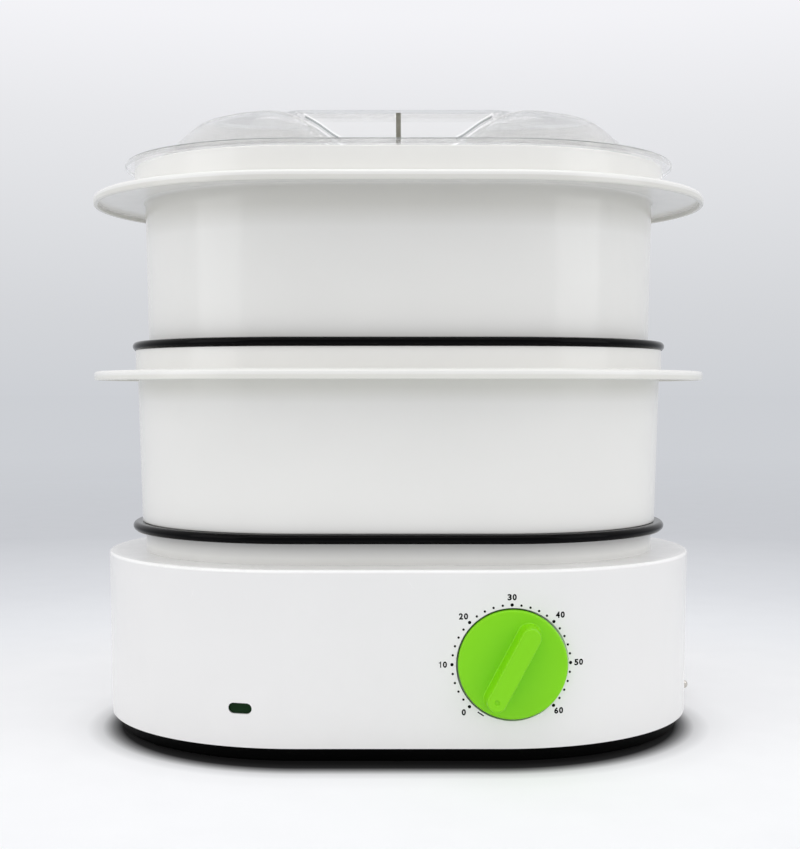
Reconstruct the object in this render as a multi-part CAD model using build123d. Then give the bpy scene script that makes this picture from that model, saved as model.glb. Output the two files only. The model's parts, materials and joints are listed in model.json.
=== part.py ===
from build123d import *

import os
from math import atan2, cos, pi, radians, sin, sqrt, tan

# Electric food steamer: a white base with a water tank, a heater and a clockwork timer,
# a drip tray, two baskets on loose black grates, and a clear lid. Millimetres, +Z up.
# The front, with the knob, faces -Y. Every tier has a racetrack outline: two half circles
# whose centres lie STRAIGHT to each side of the middle. Radii below are of those half
# circles, so one radius stands for a whole outline.

# ---------------------------------------------------------------- driving dimensions
STRAIGHT = 47.5  # half the length of each tier's straight side
FIT = 0.3  # gap between loose pieces
RUNNING = 0.05  # radial gap round a turning shaft
HOLE_GAP = 0.2  # radial gap round a stud or a screw
CUT = 1.0  # how far a cutter reaches past what it cuts

# Base housing
BASE_TOP_R = 102.5
BASE_LEAN = 1.3  # how much wider the housing is at its deck than at its foot
SHELL_H = 81.8
SHELL_WALL = 2.6
DECK_EDGE = 1.4  # rounding of the deck's outer edge
DECK_W = 21.9  # width of the deck round the tank's mouth
MOUTH_EDGE = 0.6
BOSS_R = 4.2
BOSS_PLACES = ((0, 90), (0, -90), (1, 45), (1, -45), (-1, 135), (-1, -135))  # end and angle
BOSS_SETBACK = 10.2  # from the housing's foot in to the middle of a screw boss
BOSS_H = 33.3
BOSS_WEB = 2.4
BOSS_DROP = 2.4  # how far a boss reaches below the shell's lower edge
BOSS_SEAT = 1.5  # wall of the plate's seat round a boss
BOSS_ROOF = 2.0  # left over the blind end of a screw hole

# Bottom plate and feet
PLATE_LOW_Z = 1.8
PLATE_H = 6.9
PLATE_SETBACK = 2.2
PLATE_LEAN = 2.4
PLATE_EDGE = 1.2
PLATE_WALL = 2.5
SPIGOT_RISE = 3.4
SCREW_R = 1.5
SCREW_HEAD_R = 3.4
SCREW_HEAD_H = 1.6
SCREW_SINK = 0.4
SCREW_BITE = 12.0
FOOT_R = 8.0
FOOT_SINK = 1.5
FOOT_WALL = 2.0
FOOT_GAP = 0.1
FOOT_RING_R = 70.0
FOOT_ANGLE = 45.0
VENT_LENGTH = 26.0
VENT_WIDTH = 3.0
VENT_PITCH = 8.0
VENT_COUNT = 6

# Water tank: the opening in the deck is also the inside of its upper part
TANK_STEP_W = 23.0
TANK_WALL = 2.4
TANK_DEPTH = 62.1
TANK_STEP_DEPTH = 16.1
TANK_FLANGE = 7.0
TANK_ROUND = 4.0
STEP_ROUND = 1.5

# Heater
HEATER_R = 24.0
HEATER_RISE = 14.6
HEATER_SHEET = 1.0
HEATER_ROUND = 3.0
HEATER_FLANGE_W = 9.0
HEATER_GAP = 0.6
SEAL_H = 1.6
STUD_R = 2.0
STUD_COUNT = 3
STUD_SETBACK = 4.4  # from the flange's edge in to a stud
STUD_REACH = 8.4
CLAMP_H = 1.6
NUT_R = 4.0
NUT_H = 3.0
SPREADER_GAP = 2.2
CLAMP_LIP = 2.0
SPREADER_H = 3.0
TUBE_R = 3.3
TUBE_BED = 0.6  # how deep the tube is pressed into the spreader
TUBE_SETBACK = 5.3
TUBE_ARC = 290.0
TAIL_REACH = 6.0
THERMOSTAT_R = 8.0
THERMOSTAT_H = 7.2
BLADE_W = 3.2
BLADE_H = 0.8
BLADE_DROP = 6.0
BLADE_X = 4.0
STRAP_W = 4.2
STRAP_H = 1.0
FUSE_R = 1.9
FUSE_LENGTH = 12.0
STEAM_RING_R = 39.0
STEAM_RING_WALL = 1.8
STEAM_RING_H = 29.6
STEAM_NOTCH_W = 14.0
STEAM_NOTCH_H = 8.0
STEAM_NOTCHES = 4

# Drip tray
TRAY_GAP = 1.0
TRAY_WALL = 2.0
TRAY_SINK = 10.5
TRAY_ROUND = 4.0
TRAY_SEAT_W = 3.4  # how far the tray's skirt stands out from the mouth
TRAY_SKIRT_H = 12.0
CHIMNEY_LENGTH = 26.0
CHIMNEY_WIDTH = 11.0
CHIMNEY_WALL = 1.8
CHIMNEY_GAP = 7.5
CHIMNEY_PITCH = 42.0
CHIMNEY_ROW_Y = 36.0
CHIMNEY_COUNT = 4

# Grates
GRATE_OVERHANG = 1.5
GRATE_H = 4.6
GRATE_LIP = 2.0  # how far the rim hangs over the collar below it
GRATE_PLATE = 2.0
GRATE_BEAD = 2.0  # bead that centres the basket's foot
BEAD_W = 2.2
SLOT_W = 4.0
SLOT_PITCH = 9.0
SLOT_MARGIN = 5.0
RIB_W = 5.0
RIB_THICK = 2.0
RIB_DROP = 4.0
RIB_Y = 27.0

# Baskets: each wall leans out from its foot to its neck, and a collar stands on its flange
COLLAR_OUT = 5.0  # from the tray's skirt out to the collars
BASKET_WALL = 2.0
FLANGE_W = 20.8
FLANGE_H = 2.2
FLANGE_LIP = 2.4
FLANGE_EDGE = 1.6
LOWER_FOOT_IN = 3.3
LOWER_NECK_IN = 1.1
LOWER_RISE = 79.2
LOWER_COLLAR_H = 12.5
UPPER_FOOT_IN = 6.8
UPPER_NECK_IN = 5.2
UPPER_RISE = 76.4
UPPER_COLLAR_H = 14.3
NECK_ROUND = 1.5
COLLAR_ROUND = 1.0
RIM_ROUND = 0.6

# Lid: a rim, a dome with sloping sides, and a roof that falls gently from its crest
LID_OVERHANG = 5.0
LID_H = 2.6
LID_ROUND = 1.0
LID_WALL = 2.0
LID_RIB_DROP = 4.0
LID_RIB_GAP = 0.4
RIM_W = 14.3  # from the lid's edge in to the dome's foot
DOME_RUN = 22.7
DOME_RISE = 20.3
DOME_EDGE = 14.0
ROOF_FALL = 0.19  # fall of the roof per millimetre from the crest outwards
CREST_HALF_W = 6.0
CREST_ROUND = 56.0
GRIP_HALF_W = 11.0  # the grip bar between the two finger scoops
SCOOP_HALF_L = 60.0  # half width of a scoop above the roof, at its knees and at its floor
SCOOP_RISE = 4.3
KNEE_HALF_L = 47.0
KNEE_DROP = 2.4
KNEE_ROUND = 30.0
FLOOR_HALF_L = 26.5
SCOOP_DEPTH = 18.4
FLOOR_ROUND = 25.0
LID_RIB_W = 2.6
VENT_HOLE_R = 2.2
VENT_HOLE_OUT = 42.5
VENT_HOLE_Y = -12.0

# Knob, dial and timer
KNOB_OUT = 4.6  # from the end of the straight side out to the knob's axis
KNOB_DROP = 43.1  # from the deck down to the knob's axis
KNOB_R = 25.0
KNOB_GAP = 0.9
RECESS_DEPTH = 5.6
CUP_WALL = 2.4
KNOB_BACK = 0.6  # gap between the knob's rim and the recess floor
KNOB_RISE = 6.5
KNOB_WALL = 2.2
KNOB_EDGE = 1.2
HUB_R = 5.2
GRIP_LENGTH = 44.0
GRIP_WIDTH = 11.0
GRIP_RISE = 11.0
GRIP_DRAFT = 7.2
GRIP_EDGE = 1.0
GRIP_REST_ANGLE = 28.0  # clockwise from upright, seen from the front
DIMPLE_R = 1.15
DIMPLE_RADIUS = 17.0
DIMPLE_DEPTH = 0.5
SHAFT_R = 3.0
SHAFT_GRIP = 1.5
SHAFT_GAP = 1.0  # round the shaft where it passes the recess floor
TIMER_SIZE = 42.0
TIMER_DEPTH = 26.0
TIMER_WALL = 1.5
TIMER_PLATE = 1.2
TIMER_CORNER = 4.0
CAM_R = 12.0
CAM_H = 3.0
CAM_GAP = 3.0
CAM_NOTCH_R = 2.2
SPRING_R = 5.5
SPRING_STRIP = 0.6
SPRING_PITCH = 2.0
SPRING_HALF_TURNS = 9
SPRING_W = 8.0
BELL_R = 13.0
BELL_DEPTH = 5.0
BELL_SHEET = 0.8
BELL_ROUND = 4.0
BELL_STUD_R = 1.5
TIMER_SCREW_R = 1.4
TIMER_SCREW_HEAD_R = 3.0
TIMER_SCREW_SPACING = 32.0
TIMER_SCREW_PAST = 2.0
LEAF_W = 5.0
LEAF_H = 0.6
LEAF_GAP = 2.4
LEAF_LENGTH = 22.0

# Pilot light
LENS_OUT = 24.9  # from the end of the straight side out to the lens
LENS_DROP = 63.9  # from the deck down to the lens
LENS_LENGTH = 11.0
LENS_HEIGHT = 5.0
LENS_GAP = 0.1
LENS_SINK = 0.8
LENS_TAIL = 2.0  # how far the lens reaches inside the housing
LAMP_R = 3.0
LAMP_LENGTH = 14.0
LAMP_GAP = 0.5
HOLDER_WALL = 1.4
HOLDER_SETBACK = 4.0

# Supply cord, as it lies behind the base
CORD_R = 3.3
CORD_BEND = 0.45  # share of the shorter run that a bend takes up
CORD_X = 36.0
CORD_Z = 19.0
RELIEF_NECK_R = 5.0
RELIEF_GAP = 0.1  # radial gap round the neck in the wall
RELIEF_BARB = 1.5
RELIEF_BARB_H = 2.8
RELIEF_SLACK = 2.2  # from the wall's inside to the barb
RELIEF_FLANGE_R = 7.5
RELIEF_FLANGE_H = 2.0
RELIEF_SUNK = 1.0
RELIEF_ROOT_R = 6.2
RELIEF_TIP_R = 4.3
RELIEF_LENGTH = 24.0
COIL_X = 73.0
COIL_OUT = 59.5  # from the housing's back to the coil's middle
COIL_RING_R = 37.0
COIL_BUNDLE_R = 6.8
COIL_ENTRY_ANGLE = 135.0
COIL_LEAVE_ANGLE = 45.0
PLUG_RUN = (75.0, -99.3)  # from the coil's middle to the face that carries the pins
PLUG_TURN = 12.0
PLUG_H = 13.6
PLUG_FACE_W = 26.0
PLUG_WIDE_W = 35.0
PLUG_WIDE_Y = 12.0
PLUG_NECK_W = 12.0
PLUG_LENGTH = 34.0
PLUG_RELIEF = 18.0
PLUG_NECK_R = 5.2
PLUG_SLEEVE = 0.7
PLUG_ROUND = 2.0
PLUG_SIDE_ROUND = 5.0
PLUG_BEVEL = 1.2
PIN_R = 2.4
PIN_LENGTH = 19.0
PIN_SPACING = 18.0
PIN_ROUND = 2.0

# Terminal block
TERMINAL_X = 30.0
TERMINAL_SETBACK = 27.2  # from the housing's foot in to the block's middle
TERMINAL_LENGTH = 30.0
TERMINAL_W = 16.0
TERMINAL_H = 12.0
TERMINAL_POLES = 3
TERMINAL_BORE_R = 1.8

# ---------------------------------------------------------------- sizes that follow
SHELL_LOW_Z = PLATE_LOW_Z + PLATE_H
DECK_Z = SHELL_LOW_Z + SHELL_H
BASE_FOOT_R = BASE_TOP_R - BASE_LEAN
BOSS_RING_R = BASE_FOOT_R - BOSS_SETBACK
BOSS_LOW_Z = SHELL_LOW_Z - BOSS_DROP
BOSS_TOP_Z = SHELL_LOW_Z + BOSS_H
PLATE_R = BASE_FOOT_R - PLATE_SETBACK
PLATE_LOW_R = PLATE_R - PLATE_LEAN
PLATE_FLOOR_Z = PLATE_LOW_Z + PLATE_WALL
TERMINAL_Y = BASE_FOOT_R - TERMINAL_SETBACK

MOUTH_R = BASE_TOP_R - DECK_W
TANK_R = MOUTH_R - TANK_STEP_W
TANK_FLOOR_Z = DECK_Z - TANK_DEPTH
TANK_STEP_Z = DECK_Z - TANK_STEP_DEPTH
TANK_LOW_Z = TANK_FLOOR_Z - TANK_WALL
HEATER_FLANGE_R = HEATER_R + HEATER_FLANGE_W
HEATER_TOP_Z = TANK_FLOOR_Z + HEATER_RISE
FLANGE_SEAL_Z = TANK_FLOOR_Z + SEAL_H
CLAMP_Z = TANK_LOW_Z - CLAMP_H
CLAMP_BORE_R = HEATER_R - CLAMP_LIP
STUD_RING_R = HEATER_FLANGE_R - STUD_SETBACK
STUD_LOW_Z = TANK_LOW_Z - STUD_REACH
SPREADER_R = HEATER_R - HEATER_SHEET - SPREADER_GAP
SPREADER_LOW_Z = HEATER_TOP_Z - HEATER_SHEET - SPREADER_H
TUBE_RING_R = SPREADER_R - TUBE_SETBACK
TAIL_LOW_Z = TANK_LOW_Z - TAIL_REACH
THERMOSTAT_LOW_Z = SPREADER_LOW_Z - THERMOSTAT_H
STEAM_RING_TOP_Z = TANK_FLOOR_Z + STEAM_RING_H

TRAY_R = MOUTH_R - TRAY_GAP
TRAY_COLLAR_R = MOUTH_R + TRAY_SEAT_W
TRAY_FLOOR_Z = DECK_Z - TRAY_SINK
LOWER_SEAT_Z = DECK_Z + TRAY_SKIRT_H  # top of the drip tray's rim, under the lower grate
CHIMNEY_TOP_Z = LOWER_SEAT_Z - CHIMNEY_GAP
COLLAR_R = TRAY_COLLAR_R + COLLAR_OUT
GRATE_R = COLLAR_R + GRATE_OVERHANG
FLANGE_R = COLLAR_R + FLANGE_W
LOWER_FLANGE_Z = LOWER_SEAT_Z + LOWER_RISE
LOWER_COLLAR_Z = LOWER_FLANGE_Z + LOWER_COLLAR_H
UPPER_SEAT_Z = LOWER_COLLAR_Z
UPPER_FLANGE_Z = UPPER_SEAT_Z + UPPER_RISE
UPPER_COLLAR_Z = UPPER_FLANGE_Z + UPPER_COLLAR_H

LID_R = COLLAR_R + LID_OVERHANG
LID_TOP_Z = UPPER_COLLAR_Z + LID_H
DOME_FOOT_R = LID_R - RIM_W
DOME_TOP_R = DOME_FOOT_R - DOME_RUN
DOME_TOP_Z = LID_TOP_Z + DOME_RISE
CREST_Z = DOME_TOP_Z + ROOF_FALL * (DOME_TOP_R - CREST_HALF_W)
SCOOP_FLOOR_Z = CREST_Z - SCOOP_DEPTH  # at the grip bar; it falls outwards with the roof

KNOB_X = STRAIGHT + KNOB_OUT
KNOB_Z = DECK_Z - KNOB_DROP
RECESS_R = KNOB_R + KNOB_GAP
RECESS_Y = RECESS_DEPTH - BASE_TOP_R  # floor of the round recess
KNOB_FACE_Y = RECESS_Y - KNOB_RISE
CUP_BACK_Y = RECESS_Y + CUP_WALL
TIMER_FRONT_Y = CUP_BACK_Y + TIMER_PLATE
TIMER_BACK_Y = TIMER_FRONT_Y + TIMER_DEPTH
LENS_X = -(STRAIGHT + LENS_OUT)
LENS_Z = DECK_Z - LENS_DROP
COIL_Y = BASE_TOP_R + COIL_OUT
PLUG_X = COIL_X + PLUG_RUN[0]
PLUG_Y = COIL_Y + PLUG_RUN[1]
RELIEF_TIP_Y = BASE_TOP_R + RELIEF_LENGTH
KNOB_REACH = GRIP_RISE - KNOB_FACE_Y
FRAME_SHIFT_Y = (KNOB_REACH - FLANGE_R) / 2  # puts the origin under the middle of the box


# ---------------------------------------------------------------- shared forms
def section(*corners):
    """Closed section of radius and height; a third number rounds that corner."""
    points = [corner[:2] for corner in corners]
    fillets = [corner[2] if len(corner) == 3 else 0 for corner in corners]
    return Plane.XZ * make_face(FilletPolyline(*points, radius=fillets, close=True))


def racetrack(profile):
    """The body that a section makes when it goes once round the racetrack."""
    facing_front = Rot(0, 0, -90) * profile
    end = Pos(STRAIGHT, 0, 0) * revolve(facing_front, Axis.Z, 180)
    side = extrude(Pos(-STRAIGHT, 0, 0) * facing_front, amount=2 * STRAIGHT, dir=(1, 0, 0))
    half = end + side
    return half + Rot(0, 0, 180) * half


def slab(radius, low_z, high_z):
    """Solid racetrack plate between two heights."""
    return racetrack(section((0, low_z), (radius, low_z), (radius, high_z), (0, high_z)))


def block(x0, x1, y0, y1, z0, z1):
    """Box between two corners."""
    size = (x1 - x0, y1 - y0, z1 - z0)
    return Pos((x0 + x1) / 2, (y0 + y1) / 2, (z0 + z1) / 2) * Box(*size)


def post(radius, x, y, z0, z1):
    """Upright round peg."""
    return Pos(x, y, (z0 + z1) / 2) * Cylinder(radius, z1 - z0)


def peg(radius, y0, y1, x=KNOB_X, z=KNOB_Z):
    """Round peg along Y, on the knob's axis unless a place is given."""
    return Pos(x, (y0 + y1) / 2, z) * Rot(90, 0, 0) * Cylinder(radius, abs(y1 - y0))


def slot_prism(length, width, x, z, y0, y1):
    """Slot outline in the front view, carried along Y."""
    return Pos(x, y1, z) * extrude(Plane.XZ * SlotOverall(length, width), amount=y1 - y0)


def shifted(points, gap):
    """A run of straight lines moved sideways, to the left of its direction."""
    moved = []
    for i in range(len(points)):
        x, z = points[i]
        lines = [points[j : j + 2] for j in (i - 1, i) if 0 <= j < len(points) - 1]
        first, last = (atan2(b[1] - a[1], b[0] - a[0]) for a, b in (lines[0], lines[-1]))
        reach = gap / cos((last - first) / 2)
        turn = (first + last) / 2
        moved.append((x - reach * sin(turn), z + reach * cos(turn)))
    return moved


def boss_places():
    """Middle and outward angle of each screw boss."""
    places = []
    for side, angle in BOSS_PLACES:
        x = side * STRAIGHT + BOSS_RING_R * cos(radians(angle))
        places.append((x, BOSS_RING_R * sin(radians(angle)), angle))
    return places


def foot_places():
    """Middle of each rubber foot."""
    out, along = FOOT_RING_R * cos(radians(FOOT_ANGLE)), FOOT_RING_R * sin(radians(FOOT_ANGLE))
    return [(i * (STRAIGHT + out), j * along) for i in (1, -1) for j in (1, -1)]


# ---------------------------------------------------------------- base housing
def base_outside():
    """The housing's outer form as a solid."""
    return racetrack(
        section(
            (0, SHELL_LOW_Z),
            (BASE_FOOT_R, SHELL_LOW_Z),
            (BASE_TOP_R, DECK_Z, DECK_EDGE),
            (0, DECK_Z),
        )
    )


def base_shell():
    under_deck = DECK_Z - SHELL_WALL
    walls = racetrack(
        section(
            (BASE_FOOT_R - SHELL_WALL, SHELL_LOW_Z),
            (BASE_FOOT_R, SHELL_LOW_Z),
            (BASE_TOP_R, DECK_Z, DECK_EDGE),
            (MOUTH_R, DECK_Z, MOUTH_EDGE),
            (MOUTH_R, under_deck),
            (BASE_TOP_R - SHELL_WALL, under_deck),
        )
    )
    inside_wall = BASE_TOP_R - BOSS_RING_R
    web_low = SHELL_LOW_Z + SPIGOT_RISE + FIT
    extras = []
    for x, y, angle in boss_places():
        extras.append(post(BOSS_R, x, y, BOSS_LOW_Z, BOSS_TOP_Z))
        web = block(0, inside_wall, -BOSS_WEB / 2, BOSS_WEB / 2, web_low, BOSS_TOP_Z)
        extras.append(Pos(x, y, 0) * Rot(0, 0, angle) * web)
    extras.append(peg(RECESS_R + CUP_WALL, -BASE_TOP_R, CUP_BACK_Y))
    skirt = slab(BASE_FOOT_R - SHELL_WALL, BOSS_LOW_Z, SHELL_LOW_Z)
    limit = base_outside() + skirt
    shell = walls + [extra & limit for extra in extras]
    for x, y, _ in boss_places():
        shell -= post(SCREW_R, x, y, BOSS_LOW_Z, BOSS_TOP_Z - BOSS_ROOF)
    shell -= peg(RECESS_R, -BASE_TOP_R - CUT, RECESS_Y)
    shell -= peg(SHAFT_R + SHAFT_GAP, RECESS_Y - CUT, CUP_BACK_Y + CUT)
    for side in (1, -1):
        x = KNOB_X + side * TIMER_SCREW_SPACING / 2
        shell -= peg(TIMER_SCREW_R + HOLE_GAP, RECESS_Y - CUT, CUP_BACK_Y + CUT, x)
    shell -= slot_prism(LENS_LENGTH, LENS_HEIGHT, LENS_X, LENS_Z, -BASE_TOP_R, lens_back_y() + CUT)
    return shell - peg(RELIEF_NECK_R + RELIEF_GAP, BOSS_RING_R, BASE_TOP_R + CUT, CORD_X, CORD_Z)


def bottom_plate():
    spigot_out = BASE_FOOT_R - SHELL_WALL - FIT
    spigot_in = spigot_out - PLATE_WALL
    plate = racetrack(
        section(
            (0, PLATE_LOW_Z),
            (PLATE_LOW_R, PLATE_LOW_Z, PLATE_EDGE),
            (PLATE_R, SHELL_LOW_Z),
            (spigot_out, SHELL_LOW_Z),
            (spigot_out, SHELL_LOW_Z + SPIGOT_RISE),
            (spigot_in, SHELL_LOW_Z + SPIGOT_RISE),
            (spigot_in, PLATE_FLOOR_Z),
            (0, PLATE_FLOOR_Z),
        )
    )
    for x, y, _ in boss_places():
        plate += post(BOSS_R + BOSS_SEAT, x, y, PLATE_LOW_Z, BOSS_LOW_Z)
        plate -= post(BOSS_R + FIT, x, y, BOSS_LOW_Z, SHELL_LOW_Z + SPIGOT_RISE)
    for x, y, _ in boss_places():
        plate -= post(SCREW_R + HOLE_GAP, x, y, PLATE_LOW_Z, BOSS_LOW_Z)
        plate -= post(SCREW_HEAD_R + FIT, x, y, PLATE_LOW_Z, PLATE_LOW_Z + SCREW_HEAD_H + SCREW_SINK)
    for x, y in foot_places():
        plate += post(FOOT_R + FOOT_WALL, x, y, PLATE_LOW_Z, PLATE_FLOOR_Z + FOOT_SINK)
        plate -= post(FOOT_R, x, y, PLATE_LOW_Z, PLATE_LOW_Z + FOOT_SINK)
    for side in (1, -1):
        for i in range(VENT_COUNT):
            x = side * (STRAIGHT / 2 + i * VENT_PITCH)
            y0 = -VENT_LENGTH / 2
            plate -= block(x, x + VENT_WIDTH, y0, -y0, PLATE_LOW_Z, PLATE_FLOOR_Z)
    return plate


def rubber_feet():
    feet = [post(FOOT_R - FOOT_GAP, x, y, 0, PLATE_LOW_Z + FOOT_SINK) for x, y in foot_places()]
    return Compound(feet)


def housing_screws():
    screws = []
    head_z = PLATE_LOW_Z + SCREW_SINK
    for x, y, _ in boss_places():
        shank = post(SCREW_R, x, y, head_z + SCREW_HEAD_H, BOSS_LOW_Z + SCREW_BITE)
        screws.append(shank + post(SCREW_HEAD_R, x, y, head_z, head_z + SCREW_HEAD_H))
    return Compound(screws)


# ---------------------------------------------------------------- tank and heater
def stud_places():
    angles = [radians(i * 360 / STUD_COUNT) for i in range(STUD_COUNT)]
    return [(STUD_RING_R * cos(a), STUD_RING_R * sin(a)) for a in angles]


def water_tank():
    flange_z = DECK_Z - SHELL_WALL
    flange_low = flange_z - TANK_WALL
    step_low = TANK_STEP_Z - TANK_WALL
    tank = racetrack(
        section(
            (0, TANK_LOW_Z),
            (TANK_R + TANK_WALL, TANK_LOW_Z, TANK_ROUND),
            (TANK_R + TANK_WALL, step_low),
            (MOUTH_R + TANK_WALL, step_low, TANK_ROUND),
            (MOUTH_R + TANK_WALL, flange_low),
            (MOUTH_R + TANK_WALL + TANK_FLANGE, flange_low),
            (MOUTH_R + TANK_WALL + TANK_FLANGE, flange_z),
            (MOUTH_R, flange_z),
            (MOUTH_R, TANK_STEP_Z, TANK_ROUND - TANK_WALL),
            (TANK_R, TANK_STEP_Z, STEP_ROUND),
            (TANK_R, TANK_FLOOR_Z, TANK_ROUND - TANK_WALL),
            (0, TANK_FLOOR_Z),
        )
    )
    tank -= post(HEATER_R + HEATER_GAP, 0, 0, TANK_LOW_Z, TANK_FLOOR_Z)
    for x, y in stud_places():
        tank -= post(STUD_R + HOLE_GAP, x, y, TANK_LOW_Z, TANK_FLOOR_Z)
    return tank


def heater_cap():
    """Steel cup over the element, with three studs that hold it down."""
    top = HEATER_TOP_Z
    cup = revolve(
        section(
            (0, top - HEATER_SHEET),
            (HEATER_R - HEATER_SHEET, top - HEATER_SHEET, HEATER_ROUND - HEATER_SHEET),
            (HEATER_R - HEATER_SHEET, FLANGE_SEAL_Z),
            (HEATER_FLANGE_R, FLANGE_SEAL_Z),
            (HEATER_FLANGE_R, FLANGE_SEAL_Z + HEATER_SHEET),
            (HEATER_R, FLANGE_SEAL_Z + HEATER_SHEET),
            (HEATER_R, top, HEATER_ROUND),
            (0, top),
        )
    )
    for x, y in stud_places():
        cup += post(STUD_R, x, y, STUD_LOW_Z, FLANGE_SEAL_Z)
    return cup


def heater_seal():
    seal = post(HEATER_FLANGE_R, 0, 0, TANK_FLOOR_Z, FLANGE_SEAL_Z)
    seal -= post(HEATER_R + HEATER_GAP, 0, 0, TANK_FLOOR_Z, FLANGE_SEAL_Z)
    for x, y in stud_places():
        seal -= post(STUD_R + HOLE_GAP, x, y, TANK_FLOOR_Z, FLANGE_SEAL_Z)
    return seal


def heater_clamp():
    """Steel ring under the tank floor, drawn up by the nuts."""
    ring = post(HEATER_FLANGE_R, 0, 0, CLAMP_Z, TANK_LOW_Z)
    ring -= post(CLAMP_BORE_R, 0, 0, CLAMP_Z, TANK_LOW_Z)
    for x, y in stud_places():
        ring -= post(STUD_R + HOLE_GAP, x, y, CLAMP_Z, TANK_LOW_Z)
    return ring


def heater_nuts():
    nuts = []
    for x, y in stud_places():
        hexagon = extrude(Pos(x, y, CLAMP_Z - NUT_H) * RegularPolygon(NUT_R, 6), amount=NUT_H)
        nuts.append(hexagon - post(STUD_R, x, y, CLAMP_Z - NUT_H, CLAMP_Z))
    return Compound(nuts)


def heating_element():
    """Aluminium spreader with a bent tube under it and two tails that go down."""
    spreader = post(SPREADER_R, 0, 0, SPREADER_LOW_Z, SPREADER_LOW_Z + SPREADER_H)
    tube_z = SPREADER_LOW_Z - TUBE_R + TUBE_BED
    start = Pos(TUBE_RING_R, 0, tube_z) * (Plane.XZ * Circle(TUBE_R))
    ring = Rot(0, 0, 90 + (360 - TUBE_ARC) / 2) * revolve(start, Axis.Z, TUBE_ARC)
    element = spreader + ring
    for side in (1, -1):
        angle = radians(90 + side * (360 - TUBE_ARC) / 2)
        x, y = TUBE_RING_R * cos(angle), TUBE_RING_R * sin(angle)
        element += post(TUBE_R, x, y, TAIL_LOW_Z, tube_z)
    return element


def thermostat():
    low = THERMOSTAT_LOW_Z
    disc = post(THERMOSTAT_R, 0, 0, low, SPREADER_LOW_Z)
    for side in (1, -1):
        x = side * BLADE_X
        disc += block(x - BLADE_W / 2, x + BLADE_W / 2, -BLADE_H / 2, BLADE_H / 2, low - BLADE_DROP, low)
    return disc


def thermostat_strap():
    """Steel strap across the clamp ring that presses the thermostat up."""
    low = THERMOSTAT_LOW_Z
    foot_low = CLAMP_Z - STRAP_H
    leg_y = CLAMP_BORE_R - FIT
    half = STRAP_W / 2
    strap = block(-half, half, -leg_y, leg_y, low - STRAP_H, low)
    for side in (0, 180):
        foot = block(-half, half, leg_y - STRAP_H, HEATER_FLANGE_R - STRAP_H, foot_low, CLAMP_Z)
        leg = block(-half, half, leg_y - STRAP_H, leg_y, foot_low, low)
        strap += Rot(0, 0, side) * (foot + leg)
    return strap


def thermal_fuse():
    """One-shot fuse that lies along the strap."""
    z = THERMOSTAT_LOW_Z - STRAP_H - FUSE_R
    return peg(FUSE_R, -BLADE_X - FUSE_LENGTH, -BLADE_X, 0, z)


# ---------------------------------------------------------------- lift-off pieces
def steam_ring():
    """Loose sleeve that stands round the heater, with notches for water."""
    ring = post(STEAM_RING_R, 0, 0, TANK_FLOOR_Z, STEAM_RING_TOP_Z)
    ring -= post(STEAM_RING_R - STEAM_RING_WALL, 0, 0, TANK_FLOOR_Z, STEAM_RING_TOP_Z)
    for i in range(STEAM_NOTCHES):
        notch = block(0, STEAM_RING_R + CUT, -STEAM_NOTCH_W / 2, STEAM_NOTCH_W / 2,
                      TANK_FLOOR_Z, TANK_FLOOR_Z + STEAM_NOTCH_H)
        ring -= Rot(0, 0, 45 + i * 360 / STEAM_NOTCHES) * notch
    return ring


def drip_tray():
    rim_low = LOWER_SEAT_Z - TRAY_WALL
    collar_in = TRAY_COLLAR_R - TRAY_WALL
    bowl_in = TRAY_R - TRAY_WALL
    tray = racetrack(
        section(
            (0, TRAY_FLOOR_Z),
            (TRAY_R, TRAY_FLOOR_Z, TRAY_ROUND),
            (TRAY_R, rim_low),
            (collar_in, rim_low),
            (collar_in, DECK_Z),
            (TRAY_COLLAR_R, DECK_Z),
            (TRAY_COLLAR_R, rim_low),
            (COLLAR_R, rim_low),
            (COLLAR_R, LOWER_SEAT_Z),
            (bowl_in, LOWER_SEAT_Z),
            (bowl_in, TRAY_FLOOR_Z + TRAY_WALL, TRAY_ROUND - TRAY_WALL),
            (0, TRAY_FLOOR_Z + TRAY_WALL),
        )
    )
    outside = SlotOverall(CHIMNEY_LENGTH, CHIMNEY_WIDTH)
    inside = SlotOverall(CHIMNEY_LENGTH - 2 * CHIMNEY_WALL, CHIMNEY_WIDTH - 2 * CHIMNEY_WALL)
    for i in range(CHIMNEY_COUNT):
        for row in (1, -1):
            place = Pos((i - (CHIMNEY_COUNT - 1) / 2) * CHIMNEY_PITCH, row * CHIMNEY_ROW_Y, TRAY_FLOOR_Z)
            tray += place * extrude(outside, amount=CHIMNEY_TOP_Z - TRAY_FLOOR_Z)
            tray -= place * extrude(inside, amount=CHIMNEY_TOP_Z - TRAY_FLOOR_Z)
    return tray


def grate_slots(reach, low_z, high_z):
    """Rows of slots across the grate, each as long as the outline allows."""
    slots = []
    columns = int((STRAIGHT + reach) / SLOT_PITCH)
    for i in range(-columns, columns + 1):
        x = i * SLOT_PITCH
        past = max(0, abs(x) + SLOT_W / 2 - STRAIGHT)
        if past >= reach:
            continue
        end_y = sqrt(reach**2 - past**2)
        inner = RIB_Y - RIB_W / 2
        outer = RIB_Y + RIB_W / 2
        for y0, y1 in ((-inner, inner), (outer, end_y), (-end_y, -outer)):
            y0, y1 = max(y0, -end_y), min(y1, end_y)
            if y1 - y0 > 2 * SLOT_W:
                slots.append(block(x - SLOT_W / 2, x + SLOT_W / 2, y0, y1, low_z, high_z))
    return slots


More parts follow.
